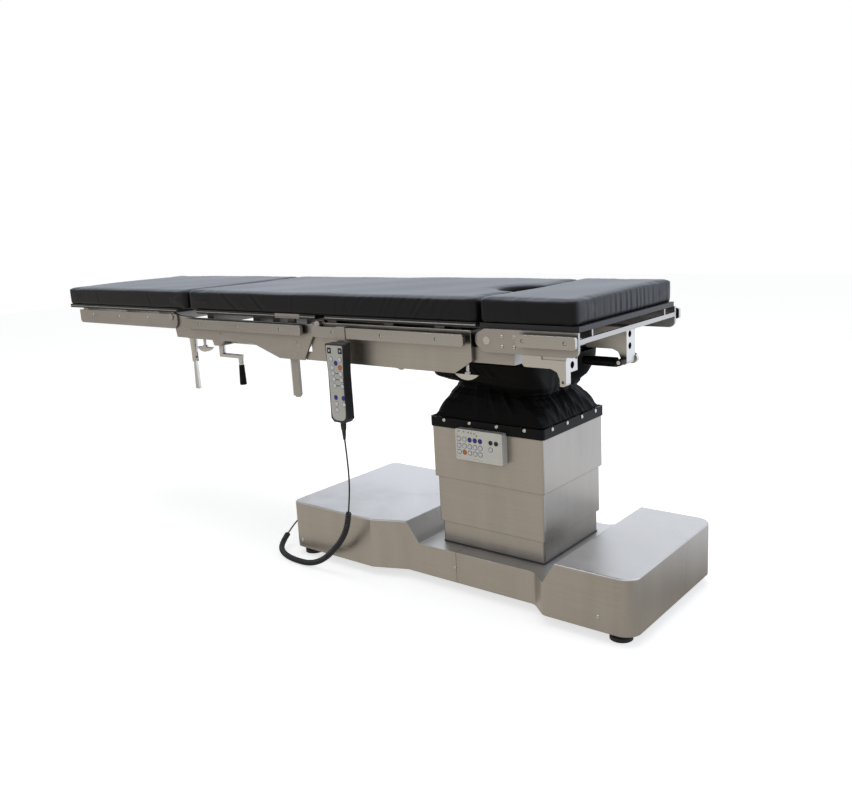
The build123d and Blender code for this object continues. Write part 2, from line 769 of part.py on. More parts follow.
def make_seat_covers():
    """Channel-shaped stainless covers, open towards the middle of the table."""
    outer_y = half_table - plate_thickness - side_gap
    inner_y = outer_y - seat_cover_depth
    right_x = seat_cover_right_x
    low = seat_cover_bottom_z
    relief_x = cover_left_x + seat_cover_relief_length
    relief_z = seat_cover_top_z - seat_cover_relief_height
    outline = [(cover_left_x, relief_z), (relief_x, seat_cover_top_z), (right_x, seat_cover_top_z),
               (right_x, low + seat_cover_corner_z), (right_x - seat_cover_corner_x, low), (cover_left_x, low)]
    wall = seat_cover_wall
    hollow = [(cover_left_x + wall, relief_z - wall), (relief_x + wall, seat_cover_top_z - wall),
              (right_x - wall, seat_cover_top_z - wall), (right_x - wall, low + seat_cover_corner_z + wall / 2),
              (right_x - seat_cover_corner_x - wall / 2, low + wall), (cover_left_x + wall, low + wall)]
    shell = side_profile(outline, inner_y, outer_y) - side_profile(hollow, inner_y - overrun, outer_y - wall)
    shell = shell + block(cover_left_x - seat_cover_tab_length, cover_left_x + wall, outer_y - wall, outer_y, low,
                          low + seat_cover_tab_height)
    gap = flat_fit
    beam_y0 = seat_beam_outer_y - seat_beam_depth - gap - overrun
    shell = shell - block(right_x - seat_cover_corner_x, right_x + overrun, beam_y0, seat_beam_outer_y + gap,
                          seat_beam_z - gap, seat_beam_z + seat_beam_height + gap)
    for x in bar_places(seat_beam_left_x, seat_beam_right_x, seat_bar_shares):
        half = cross_bar_length / 2 + gap
        shell = shell - block(x - half, x + half, inner_y - overrun, seat_beam_outer_y + gap,
                              seat_cover_top_z - wall - overrun, seat_cover_top_z + overrun)
    half = knuckle_radius + gap
    shell = shell - block(back_hinge_x - half, back_hinge_x + half, inner_y - overrun, seat_beam_outer_y + gap,
                          seat_cover_top_z - wall - overrun, seat_cover_top_z + overrun)
    shell = shell - rod_y(inner_y, outer_y + overrun, back_hinge_x, back_hinge_z, hinge_pin_radius + flat_fit)
    near, far = mirror(shell, about=Plane.XZ), shell
    near = near - rod_z(low - overrun, seat_beam_z, leg_knob_x, knob_y, knob_stem_radius + flat_fit)
    save("seat_side_covers", near, far)


def make_seat_pins():
    """Back hinge pins with round heads outside the back plates, and the leg extension's pivot bolts."""
    beam_inner_y = seat_beam_outer_y - seat_beam_depth
    pin = rod_y(seat_beam_outer_y - seat_lug_depth, half_table + side_gap, back_hinge_x, back_hinge_z,
                hinge_pin_radius)
    pin = pin + rod_y(half_table + side_gap, half_table + side_gap + knuckle_head, back_hinge_x, back_hinge_z,
                      knuckle_radius)
    bolt = rod_y(beam_inner_y, half_table + side_gap, leg_hinge_x, leg_hinge_z, leg_bolt_radius)
    save("seat_hinge_pins", *across(pin), *across(bolt))


# Boards and pads


def make_boards():
    half = half_table - board_margin
    top_z = board_z + board_thickness
    gap = board_margin * 2
    save("head_board", block(table_left_x + board_margin / 2, head_board_right_x, -half, half, board_z, top_z))
    seat = block(back_hinge_x + gap, leg_seam_x - board_seam_gap, -half, half, board_z, top_z)
    notch = extrude(Pos(leg_seam_x, 0, board_z - overrun) * Ellipse(cut_out_depth + board_margin,
                                                                    cut_out_half_width + board_margin),
                    amount=board_thickness + 2 * overrun)
    save("seat_board", seat - notch)
    save("leg_board", block(leg_seam_x + board_seam_gap, table_right_x, -half, half, board_z, top_z))
    bridge_left = bridge_x - bridge_length / 2 - flat_fit
    bridge_right = bridge_x + bridge_length / 2 + flat_fit
    save("back_board", block(back_board_left_x, bridge_left, -half, half, board_z, top_z),
         block(bridge_right, back_hinge_x - gap, -half, half, board_z, top_z))


pad_level_shares = (0.0, 0.16, 0.5, 0.80, 0.94, 1.0)
pad_inset_shares = (0.07, 0.015, 0.0, 0.03, 0.12, 0.32)
pad_corner = 16.0
pad_crown = 3.0
cut_out_depth = 84.0
cut_out_half_width = 74.0


def pad(x0, x1):
    """A cushion whose sides draw in towards the seam at its foot and round over to its crown."""
    sections = []
    for level, inset in zip(pad_level_shares, pad_inset_shares):
        margin = inset * pad_thickness + soft_fit / 2
        outline = RectangleRounded(x1 - x0 - 2 * margin, pad_width - 2 * margin, pad_corner - margin / 2)
        sections.append(Pos((x0 + x1) / 2, 0, pad_z + soft_fit + level * (pad_thickness - soft_fit)) * outline)
    crown_radius = (half_table ** 2 + pad_crown ** 2) / (2 * pad_crown)
    crown = rod_x(x0 - overrun, x1 + overrun, 0, pad_z + pad_thickness - crown_radius, crown_radius)
    return loft(sections) & crown


def make_pads():
    save("head_pad", pad(table_left_x, head_seam_x))
    save("back_pad", pad(head_seam_x, back_hinge_x))
    seat = pad(back_hinge_x, leg_seam_x)
    notch = extrude(Pos(leg_seam_x, 0, pad_z - overrun) * Ellipse(cut_out_depth, cut_out_half_width),
                    amount=pad_thickness + 2 * overrun)
    save("seat_pad", seat - notch)
    save("leg_pad", pad(leg_seam_x, table_right_x))


# Back section


def make_back_frame():
    plate_y = half_table - plate_thickness
    outline = [(back_plate_left_x, back_plate_top_z), (back_hinge_x, back_plate_top_z),
               (back_diagonal_x, back_diagonal_z), (back_tail_right_x, back_tail_bottom_z),
               (back_tail_left_x, back_tail_bottom_z), (back_tail_start_x, back_plate_bottom_z),
               (boss_right_x, back_plate_bottom_z), (boss_right_x - boss_slope, boss_bottom_z),
               (boss_left_x + boss_slope / 2, boss_bottom_z), (boss_left_x, back_plate_bottom_z),
               (back_plate_left_x, back_plate_bottom_z)]
    plate = side_profile(outline, plate_y, half_table)
    plate = plate + rod_y(plate_y, half_table, back_hinge_x, back_hinge_z, knuckle_radius)
    plate = plate - rod_y(plate_y - overrun, half_table + overrun, back_hinge_x, back_hinge_z,
                          hinge_pin_radius + running_fit)
    beam_y = plate_y - back_beam_depth
    wall = back_beam_wall
    beam = block(back_plate_left_x, back_beam_right_x, beam_y, plate_y + overrun, back_beam_z,
                 back_beam_z + back_beam_height)
    beam = beam - block(back_plate_left_x + wall, back_beam_right_x - wall, beam_y + wall, plate_y - wall,
                        back_beam_z + wall, back_beam_z + back_beam_height - wall)
    slot_half = rack_width / 2 + flat_fit
    slot = block(rack_x - slot_half, rack_x + slot_half, rack_y - rack_thickness / 2 - flat_fit,
                 rack_y + rack_thickness / 2 + flat_fit, back_beam_z - overrun,
                 back_beam_z + back_beam_height + overrun)
    beam = beam - slot
    lug_y = plate_y - hinge_lug_thickness
    lug_right_x = lever_x + lever_lug_reach
    lug_outline = [(head_hinge_x, head_hinge_z + hinge_lug_radius),
                   (head_hinge_x, head_hinge_z - hinge_lug_radius),
                   (head_hinge_x + hinge_lug_radius, hinge_block_bottom_z), (lug_right_x, hinge_block_bottom_z),
                   (lug_right_x, back_plate_top_z),
                   (head_hinge_x + 2 * hinge_lug_radius, head_hinge_z + hinge_lug_radius / 3)]
    lug = side_profile(lug_outline, lug_y, plate_y)
    lug = lug + rod_y(lug_y, plate_y, head_hinge_x, head_hinge_z, hinge_lug_radius)
    lug = lug - rod_y(lug_y - overrun, plate_y + overrun, head_hinge_x, head_hinge_z, hinge_pin_radius)
    bearing = block(pinion_x - bearing_half, pinion_x + bearing_half, rack_y + rack_thickness,
                    rack_y + rack_thickness + bearing_thickness, pinion_z - bearing_half, back_beam_z + overrun)
    bearing = bearing - rod_y(rack_y, half_table, pinion_x, pinion_z, bridge_shaft_radius + running_fit)
    frame = None
    for piece in (plate, beam, lug, bearing):
        for copy in across(piece):
            frame = copy if frame is None else frame + copy
    bar_z = board_z - cross_bar_height
    for bar in cross_bars(back_board_left_x, back_hinge_x, back_bar_shares, beam_y + overrun, bar_z):
        frame = frame + bar
    bridge_edge_x = bridge_x + bridge_length / 2
    frame = frame + block(bridge_edge_x + overrun, back_beam_right_x, -beam_y - overrun, beam_y + overrun,
                          bar_z, board_z)
    save("back_frame", frame)


def make_head_hinge_pins():
    lug_y = half_table - plate_thickness - hinge_lug_thickness
    pin = rod_y(lug_y, half_table + side_gap, head_hinge_x, head_hinge_z, hinge_pin_radius)
    head = rod_y(half_table + side_gap, half_table + side_gap + knuckle_head, head_hinge_x, head_hinge_z,
                 knuckle_radius)
    save("head_hinge_pins", *across(pin + head))


# Kidney bridge with its racks, pinion shaft, drive shaft and crank

bridge_setback = 130.0
bridge_x = back_hinge_x - bridge_setback
bridge_length = 100.0
rack_x = bridge_x
rack_inset = 25.0
rack_y = half_table - rack_inset
rack_width = 32.0
rack_thickness = 8.0
rack_bottom_z = 481.0
gear_module = 1.8
pressure_angle = 20.0
pinion_teeth = 18
rack_teeth = 23
tooth_backlash = 0.25
tooth_clearance = 0.5
addendum_share = 0.85
pinion_radius = gear_module * pinion_teeth / 2
pinion_x = rack_x - rack_width / 2 + gear_module - pinion_radius
pinion_z = 616.0
bridge_shaft_radius = 7.0
bearing_half = 11.0
bearing_thickness = 6.0


def tooth_angle(radius):
    """Half angle of a pinion tooth at a radius, from the involute of its base circle."""
    alpha = radians(pressure_angle)
    base = pinion_radius * cos(alpha)
    at_radius = (max(radius * radius - base * base, 0)) ** 0.5 / base
    roll = at_radius - atan(at_radius)
    pitch_roll = tan(alpha) - alpha
    pitch_half = (pi * gear_module / 2 - tooth_backlash) / (2 * pinion_radius)
    return pitch_half + pitch_roll - roll


def make_pinion(y0, y1):
    """A spur pinion with involute flanks in five steps from root to tip."""
    addendum = gear_module * addendum_share
    root = pinion_radius - addendum - tooth_clearance
    base = pinion_radius * cos(radians(pressure_angle))
    tip = pinion_radius + addendum
    steps = 5
    radii = [base + (tip - base) * k / (steps - 1) for k in range(steps)]
    points = []
    for k in range(pinion_teeth):
        centre = 2 * pi * (k + 0.5) / pinion_teeth
        flank = [(root, tooth_angle(base))] + [(r, tooth_angle(r)) for r in radii]
        for r, half in flank:
            points.append((r, centre - half))
        for r, half in reversed(flank):
            points.append((r, centre + half))
    outline = [(pinion_x + r * cos(a), pinion_z + r * sin(a)) for r, a in points]
    return side_profile(outline, y0, y1)


def make_rack():
    """The rack: a bar with straight-flanked teeth on its left edge, meshed with the pinion at rest."""
    addendum = gear_module * addendum_share
    pitch = pi * gear_module
    pitch_x = pinion_x + pinion_radius
    tip_x = pitch_x - addendum
    root_x = pitch_x + addendum + tooth_clearance
    slope = tan(radians(pressure_angle))
    half_pitch_tooth = pitch / 4 - tooth_backlash / 2
    right_x = rack_x + rack_width / 2
    top_z = board_z - overrun
    points = [(right_x, top_z), (right_x, rack_bottom_z + rack_width / 4),
              (right_x - rack_width / 4, rack_bottom_z), (rack_x - rack_width / 8, rack_bottom_z),
              (root_x, rack_bottom_z + rack_width / 5)]
    for k in range(-rack_teeth, 3):
        centre = pinion_z + k * pitch
        half_root = half_pitch_tooth + (root_x - pitch_x) * slope
        half_tip = half_pitch_tooth - addendum * slope
        points.append((root_x, centre - half_root))
        points.append((tip_x, centre - half_tip))
        points.append((tip_x, centre + half_tip))
        points.append((root_x, centre + half_root))
    points.append((root_x, top_z))
    return side_profile(points, rack_y - rack_thickness / 2, rack_y + rack_thickness / 2)


def make_bridge():
    half = half_table - board_margin
    plate = block(bridge_x - bridge_length / 2, bridge_x + bridge_length / 2, -half, half,
                  board_z - overrun, board_z + board_thickness)
    bridge = plate
    for rack in across(make_rack()):
        bridge = bridge + rack
    save("kidney_bridge", bridge)


gearbox_width = 26.0
crank_setback = 134.0
control_inset = 18.0
crank_x = head_seam_x + crank_setback
crank_y = -half_table + control_inset
crank_shaft_radius = 9.5
crank_drop = 35.0
crank_arm_z = boss_bottom_z - crank_drop
crank_arm_height = 9.0
crank_arm_width = 18.0
crank_reach = 84.0
crank_stub_radius = 7.5
crank_stub_height = 20.0
grip_length = 60.0
grip_top_radius = 8.0
grip_bottom_radius = 10.5
grip_pin_radius = 4.0
drive_shaft_radius = 6.0
drive_shaft_inset = 24.0
drive_y = crank_y + drive_shaft_inset


def make_gearboxes():
    """Two sealed gear cases: one at the crank and one at the pinion shaft."""
    shaft = crank_shaft_radius + running_fit
    half = crank_shaft_radius + gearbox_width / 4
    top_z = back_beam_z
    first = block(crank_x - half, crank_x + half, -half_table + plate_thickness + flat_fit, drive_y + half / 2,
                  boss_bottom_z, top_z)
    first = first - rod_z(boss_bottom_z - overrun, boss_bottom_z + gearbox_width / 3, crank_x, crank_y, shaft)
    first = first - rod_x(crank_x, crank_x + half + overrun, drive_y, pinion_z + gearbox_width / 4,
                          drive_shaft_radius + running_fit)
    box_half = gearbox_width * 0.6
    second = block(pinion_x - box_half, pinion_x + box_half, drive_y - box_half / 2, drive_y + box_half,
                   pinion_z - box_half, back_beam_z)
    second = second - rod_y(drive_y - box_half, drive_y + 2 * box_half, pinion_x, pinion_z,
                            bridge_shaft_radius + running_fit)
    second = second - rod_x(pinion_x - box_half - overrun, pinion_x - box_half / 2, drive_y,
                            pinion_z + gearbox_width / 4, drive_shaft_radius + running_fit)
    save("bridge_gearboxes", first, second)


def make_bridge_shafts():
    reach = rack_y + rack_thickness + bearing_thickness
    shaft = rod_y(-reach, reach, pinion_x, pinion_z, bridge_shaft_radius)
    for pinion in across(make_pinion(rack_y - rack_thickness / 2, rack_y + rack_thickness / 2)):
        shaft = shaft + pinion
    save("bridge_shaft", shaft)
    box_half = gearbox_width * 0.6
    drive = rod_x(crank_x + overrun, pinion_x - box_half / 2 - overrun, drive_y, pinion_z + gearbox_width / 4,
                  drive_shaft_radius)
    save("bridge_drive_shaft", drive)


def make_crank():
    arm_x = crank_x + crank_reach
    arm_top_z = crank_arm_z + crank_arm_height
    shaft_top_z = boss_bottom_z + gearbox_width / 3 - overrun
    shaft = rod_z(crank_arm_z, shaft_top_z, crank_x, crank_y, crank_shaft_radius)
    arm = block(crank_x, arm_x, crank_y - crank_arm_width / 2, crank_y + crank_arm_width / 2, crank_arm_z,
                arm_top_z)
    arm = arm + rod_z(crank_arm_z, arm_top_z, crank_x, crank_y, crank_arm_width / 2)
    arm = arm + rod_z(crank_arm_z, arm_top_z, arm_x, crank_y, crank_arm_width / 2)
    stub_z = crank_arm_z - crank_stub_height
    stub = rod_z(stub_z, crank_arm_z, arm_x, crank_y, crank_stub_radius)
    pin_z = stub_z - grip_length * 0.9
    pin = rod_z(pin_z, stub_z, arm_x, crank_y, grip_pin_radius)
    save("crank", shaft + arm + stub + pin)
    low_z = stub_z - flat_fit - grip_length
    grip = loft([Pos(arm_x, crank_y, low_z) * Circle(grip_bottom_radius),
                 Pos(arm_x, crank_y, stub_z - flat_fit) * Circle(grip_top_radius)])
    grip = fillet(grip.edges().sort_by(Axis.Z)[0], grip_bottom_radius / 5)
    grip = grip - rod_z(pin_z - flat_fit, stub_z, arm_x, crank_y, grip_pin_radius + running_fit)
    save("crank_grip", grip)


# Release lever and clamp knobs

lever_setback = 5.0
lever_x = head_seam_x - lever_setback
lever_y = -half_table + control_inset
lever_socket_height = 45.0
lever_socket_z = hinge_block_bottom_z - lever_socket_height
lever_lug_reach = 15.5
lever_socket_top = 12.0
lever_socket_bottom = 9.8
lever_pin_radius = 3.5
lever_pin_drop = 22.0
lever_length = 95.0
lever_pin_z = lever_socket_z - lever_pin_drop
lever_bottom_z = lever_pin_z - lever_length
lever_fork_gap = 9.0
lever_blade_top = 4.8
lever_blade_bottom = 9.5
lever_hub_radius = 8.0


def make_release_lever():
    """The fixed tapered socket with its fork and pin, and the flared blade that is squeezed."""
    socket = loft([Pos(lever_x, lever_y, lever_socket_z) * Circle(lever_socket_bottom),
                   Pos(lever_x, lever_y, hinge_block_bottom_z) * Circle(lever_socket_top)])
    fork_z = lever_pin_z - lever_hub_radius
    fork = rod_z(fork_z, lever_socket_z, lever_x, lever_y, lever_socket_bottom)
    slot = block(lever_x - 2 * lever_socket_top, lever_x + 2 * lever_socket_top, lever_y - lever_fork_gap / 2,
                 lever_y + lever_fork_gap / 2, fork_z - overrun, lever_socket_z - overrun)
    fork = fork - slot
    pin = rod_y(lever_y - lever_socket_bottom, lever_y + lever_socket_bottom, lever_x, lever_pin_z,
                lever_pin_radius)
    save("lever_socket", socket + fork + pin)
    hub_half = lever_fork_gap / 2 - flat_fit
    hub = rod_y(lever_y - hub_half, lever_y + hub_half, lever_x, lever_pin_z, lever_hub_radius)
    blade = side_profile([(lever_x - lever_blade_top, lever_pin_z), (lever_x + lever_blade_top, lever_pin_z),
                          (lever_x + lever_blade_bottom, lever_bottom_z),
                          (lever_x - lever_blade_bottom, lever_bottom_z)],
                         lever_y - hub_half, lever_y + hub_half)
    blade = blade + hub
    blade = blade - rod_y(lever_y - lever_fork_gap, lever_y + lever_fork_gap, lever_x, lever_pin_z,
                          lever_pin_radius + running_fit)
    save("release_lever", blade)


knob_y = -half_table + control_inset
head_knob_setback = 52.0
head_knob_length = 37.0
leg_knob_setback = 41.0
leg_knob_length = 29.0
head_knob_x = head_seam_x + head_knob_setback
head_knob_wing_z = back_beam_z - head_knob_length
leg_knob_x = leg_seam_x - leg_knob_setback
leg_knob_wing_z = seat_beam_z - leg_knob_length
knob_stem_radius = 4.5
knob_wing_radius = 35.0
knob_wing_height = 14.0
knob_wing_thickness = 12.0
knob_collar_radius = 8.0
knob_collar_height = 5.0


def make_knob(name, x, wing_top, top_z):
    """A half-moon wing on a threaded stem that ends under the beam it clamps."""
    stem = rod_z(wing_top - knob_wing_height / 2, top_z, x, knob_y, knob_stem_radius)
    collar = rod_z(wing_top, wing_top + knob_collar_height, x, knob_y, knob_collar_radius)
    rise = (knob_wing_radius ** 2 + knob_wing_height ** 2) / (2 * knob_wing_height)
    disc = rod_y(knob_y - knob_wing_thickness / 2, knob_y + knob_wing_thickness / 2, x,
                 wing_top - knob_wing_height + rise, rise)
    cut = block(x - knob_wing_radius, x + knob_wing_radius, knob_y - knob_wing_thickness,
                knob_y + knob_wing_thickness, wing_top - knob_wing_height - overrun, wing_top)
    save(name, (disc & cut) + stem + collar)


# Head section


def make_head_frame():
    """The two side plates that turn on the head hinge, joined by bars under the board."""
    outer_y = half_table
    inner_y = half_table - plate_thickness + side_gap
    right_x = head_hinge_x + head_plate_end
    plate = block(head_plate_left_x, right_x, inner_y, outer_y, head_plate_bottom, head_plate_top)
    plate = crosswise_round(plate, head_plate_left_x, head_plate_bottom, head_plate_corner)
    plate = crosswise_round(plate, right_x, head_plate_bottom, head_plate_corner * 2)
    plate = crosswise_round(plate, right_x, head_plate_top, head_plate_corner / 2)
    plate = plate - rod_y(inner_y - overrun, outer_y + overrun, head_hinge_x, head_hinge_z,
                          hinge_pin_radius + running_fit)
    frame = None
    for copy in across(plate):
        frame = copy if frame is None else frame + copy
    bar_z = board_z - cross_bar_height
    for bar in cross_bars(head_plate_left_x, head_hinge_x, head_bar_shares, inner_y + overrun, bar_z):
        frame = frame + bar
    save("head_frame", frame)


# Leg extension

bracket_setback = 31.0
bracket_length = 111.0
bracket_right_x = leg_arm_right_x - bracket_setback
bracket_left_x = bracket_right_x - bracket_length
bracket_width = 50.0
bracket_top_z = leg_hinge_z - leg_arm_radius - flat_fit
bracket_mid_drop = 54.0
bracket_foot_height = 38.0
bracket_mid_z = leg_hinge_z - bracket_mid_drop
bracket_foot_z = bracket_mid_z - bracket_foot_height
bracket_foot_width = 20.0
bracket_foot_length = 16.0
bracket_curve = 22.0
bracket_corner = 8.0
bracket_flange_rise = 12.0
bracket_flange_top = leg_hinge_z + bracket_flange_rise
bracket_flange_thickness = 14.0
bracket_pin_radius = 3.5
bracket_recess = 2.5
leg_socket_radius = 8.0
leg_socket_depth = 60.0
leg_socket_rise = 7.0
leg_socket_inset = 28.0
leg_socket_z = bracket_mid_z + leg_socket_rise
leg_socket_y = half_table - leg_socket_inset
small_socket_radius = 4.0
small_socket_rise = 14.0
small_socket_inset = 45.0
small_socket_z = leg_socket_z + small_socket_rise
small_socket_y = half_table - small_socket_inset
centre_bracket_y0 = 37.0
centre_bracket_y1 = 82.0
centre_bracket_top_z = leg_bar_z
centre_socket_spacing = 29.0
centre_socket_z_high = leg_socket_z + centre_socket_spacing
centre_socket_y = 54.0


def make_leg_frame():
    """The two arms with their round pivot ends, joined by the flat bar across the end."""
    inner_y = half_table - leg_arm_wall
    low = leg_hinge_z - leg_arm_radius
    high = leg_hinge_z + leg_arm_radius
    arm = block(leg_hinge_x, leg_arm_right_x, inner_y, half_table, low, high)
    arm = crosswise_round(arm, leg_arm_right_x, low, leg_arm_corner)
    arm = crosswise_round(arm, leg_arm_right_x, high, leg_arm_corner / 8)
    arm = arm + rod_y(inner_y, half_table, leg_hinge_x, leg_hinge_z, leg_arm_radius)
    arm = arm - rod_y(inner_y - overrun, half_table + overrun, leg_hinge_x, leg_hinge_z,
                      leg_bolt_radius + running_fit)
    frame = None
    for copy in across(arm):
        frame = copy if frame is None else frame + copy
    reach = inner_y + overrun
    frame = frame + block(leg_arm_right_x - leg_bar_thickness, leg_arm_right_x, -reach, reach, leg_bar_z,
                          leg_bar_z + leg_bar_height)
    stay_x0 = bracket_left_x
    stay_x1 = bracket_left_x + cross_bar_length
    frame = frame + block(stay_x0, stay_x1, -reach, reach, centre_bracket_top_z, high)
    clip_y = inner_y - 2 * cross_bar_length
    for copy in across(block(stay_x0, leg_arm_right_x - overrun, clip_y, clip_y + plate_thickness,
                             leg_bar_z + leg_bar_height / 2, high)):
        frame = frame + copy
    save("leg_frame", frame)


def bracket_outline(top_z):
    curve_x = bracket_right_x - bracket_foot_length
    return [(bracket_left_x, top_z), (bracket_left_x, bracket_mid_z),
            (curve_x - bracket_curve, bracket_mid_z),
            (curve_x - bracket_curve * 0.3, bracket_mid_z - bracket_curve * 0.3),
            (curve_x, bracket_mid_z - bracket_curve), (curve_x, bracket_foot_z),
            (bracket_right_x, bracket_foot_z), (bracket_right_x, top_z)]


def make_leg_brackets():
    """Socket blocks for leg plates: one under the near arm and one hanging from the stay near the middle."""
    outer_y = half_table - flat_fit
    inner_y = half_table - bracket_width
    full = side_profile(bracket_outline(bracket_top_z), inner_y, outer_y)
    full = crosswise_round(full, bracket_left_x, bracket_mid_z, bracket_corner)
    full = crosswise_round(full, bracket_right_x, bracket_foot_z, bracket_corner)
    narrow = bracket_width - bracket_foot_width
    full = full - block(bracket_right_x - bracket_width, bracket_right_x + overrun, inner_y - overrun,
                        inner_y + narrow, bracket_foot_z - overrun, bracket_mid_z - bracket_corner)
    flange_outer = half_table - leg_arm_wall
    flange = block(bracket_left_x + cross_bar_length + flat_fit, bracket_right_x,
                   flange_outer - bracket_flange_thickness, flange_outer, bracket_top_z - overrun,
                   bracket_flange_top)
    near = full + flange
    recess_x = bracket_left_x + bracket_width
    near = near - block(recess_x, bracket_right_x + overrun, outer_y - bracket_recess, outer_y + overrun,
                        bracket_top_z - 3 * bracket_recess, bracket_top_z + overrun)
    near = near - rod_x(bracket_right_x - leg_socket_depth, bracket_right_x + overrun, leg_socket_y,
                        leg_socket_z, leg_socket_radius)
    near = near - rod_x(bracket_right_x - leg_socket_depth, bracket_right_x + overrun, small_socket_y,
                        small_socket_z, small_socket_radius)
    pin_x = bracket_right_x - bracket_foot_length / 2
    pin_z = bracket_foot_z + bracket_foot_length * 0.6
    pin_hole = rod_y(inner_y - overrun, half_table, pin_x, pin_z, bracket_pin_radius)
    near = mirror(near - pin_hole, about=Plane.XZ)
    centre = side_profile(bracket_outline(centre_bracket_top_z - flat_fit), centre_bracket_y0,
                          centre_bracket_y1)
    centre = crosswise_round(centre, bracket_left_x, bracket_mid_z, bracket_corner)
    centre = crosswise_round(centre, bracket_right_x, bracket_foot_z, bracket_corner)
    for z in (leg_socket_z, centre_socket_z_high):
        centre = centre - rod_x(bracket_right_x - leg_socket_depth, bracket_right_x + overrun, centre_socket_y,
                                z, leg_socket_radius)
    centre = centre - rod_y(centre_bracket_y0 - overrun, centre_bracket_y1 + overrun, pin_x, pin_z,
                            leg_strut_pin_radius)
    save("leg_brackets", near, centre)


leg_strut_radius = 12.0
leg_strut_y = 18.0
leg_strut_length = 96.0
leg_strut_pin_radius = 5.0
leg_strut_cap_radius = 13.0
leg_strut_cap_thickness = 10.0
leg_strut_eye_radius = 8.5
leg_strut_stem_radius = 7.0


def make_leg_strut():
    """A black strut beside the centre bracket, held by a pin with a round cap."""
    pin_x = bracket_right_x - bracket_foot_length / 2
    pin_z = bracket_foot_z + bracket_foot_length * 0.6
    tube = rod_x(pin_x - leg_strut_length, pin_x - leg_strut_eye_radius, leg_strut_y, pin_z, leg_strut_radius)
    eye = rod_x(pin_x - leg_strut_eye_radius - overrun, pin_x, leg_strut_y, pin_z, leg_strut_stem_radius)
    eye = eye + rod_y(leg_strut_y - leg_strut_eye_radius, leg_strut_y + leg_strut_eye_radius, pin_x, pin_z,
                      leg_strut_eye_radius)
    pin = rod_y(leg_strut_y - leg_strut_eye_radius, centre_bracket_y1, pin_x, pin_z, leg_strut_pin_radius)
    cap = rod_y(centre_bracket_y1, centre_bracket_y1 + leg_strut_cap_thickness, pin_x, pin_z,
                leg_strut_cap_radius)
    past = 2 * leg_strut_eye_radius
    bore = rod_y(leg_strut_y - past, leg_strut_y + past, pin_x, pin_z, leg_strut_pin_radius)
    save("leg_strut", tube + eye - bore)
    save("leg_pin", pin + cap)


# Control panel

panel_setback = 76.0
panel_left_x = column_x - panel_setback
panel_width = 142.0
panel_height = 80.0
panel_depth = 22.0
panel_drop = 18.0
panel_top_z = upper_cover_top_z - panel_drop
panel_corner = 4.0
panel_bezel = 5.0
panel_recess = 1.0


def make_control_panel():
    back_y = -cover_half_y - flat_fit - strip_thickness
    front_y = -cover_half_y - panel_depth
    case = block(panel_left_x, panel_left_x + panel_width, front_y, -cover_half_y, panel_top_z - panel_height,
                 panel_top_z)
    case = fillet(case.edges().filter_by(Axis.Y), panel_corner)
    relief_z = upper_cover_top_z + strip_rise - strip_height - flat_fit
    case = case - block(panel_left_x - overrun, panel_left_x + panel_width + overrun, back_y - flat_fit,
                        -cover_half_y + overrun, relief_z, panel_top_z + overrun)
    window = block(panel_left_x + panel_bezel, panel_left_x + panel_width - panel_bezel, front_y - overrun,
                   front_y + panel_recess, panel_top_z - panel_height + panel_bezel, panel_top_z - panel_bezel)
    save("control_panel", case - window)


# Bellows

bellows_wall = 2.0
bellows_top_gap = 1.0
bellows_level_shares = (0.0, 0.11, 0.29, 0.45, 0.56, 0.70, 0.80, 0.90, 1.0)
bellows_width_shares = (0.998, 0.985, 0.90, 0.80, 0.76, 0.84, 0.92, 0.93, 0.93)
bellows_depth_shares = (0.998, 0.985, 0.90, 0.80, 0.76, 0.94, 1.09, 1.12, 1.12)
bellows_shift_shares = (0.0, 0.0, 0.0, 0.05, 0.10, 0.06, 0.0, 0.0, 0.0)
bellows_corner_share = 0.22


def bellows_surface(inset):
    """A solid through rounded rectangles: full at the strip, drawn in at the waist, and wide round the saddle."""
    low = upper_cover_top_z + soft_fit
    high = saddle_z + saddle_thickness + guide_lift - bellows_top_gap
    sections = []
    for level, width, depth, shift in zip(bellows_level_shares, bellows_width_shares, bellows_depth_shares,
                                          bellows_shift_shares):
        half_x = width * cover_half_x - inset
        half_y = depth * cover_half_y - inset
        outline = RectangleRounded(2 * half_x, 2 * half_y, bellows_corner_share * half_y)
        sections.append(Pos(column_x + shift * cover_half_x, 0, low + level * (high - low)) * outline)
    return loft(sections)


def make_bellows():
    save("bellows", bellows_surface(0) - bellows_surface(bellows_wall))


# Handset, its hook and its cord

handset_setback = 108.0
handset_drop = 23.0
handset_gap = 2.0
handset_x = seat_rail_left_x + handset_setback
handset_top_z = rail_z - handset_drop
handset_height = 208.0
handset_top_width = 66.0
handset_waist_width = 56.0
handset_bottom_width = 58.0
handset_depth = 27.0
handset_back_y = -half_table - rail_stand_off - rail_thickness - handset_gap
handset_waist_share = 0.36
handset_corner = 10.0
handset_neck_radius = 7.0
handset_neck_length = 12.0
hook_width = 30.0
hook_thickness = 2.5
hook_drop = 30.0


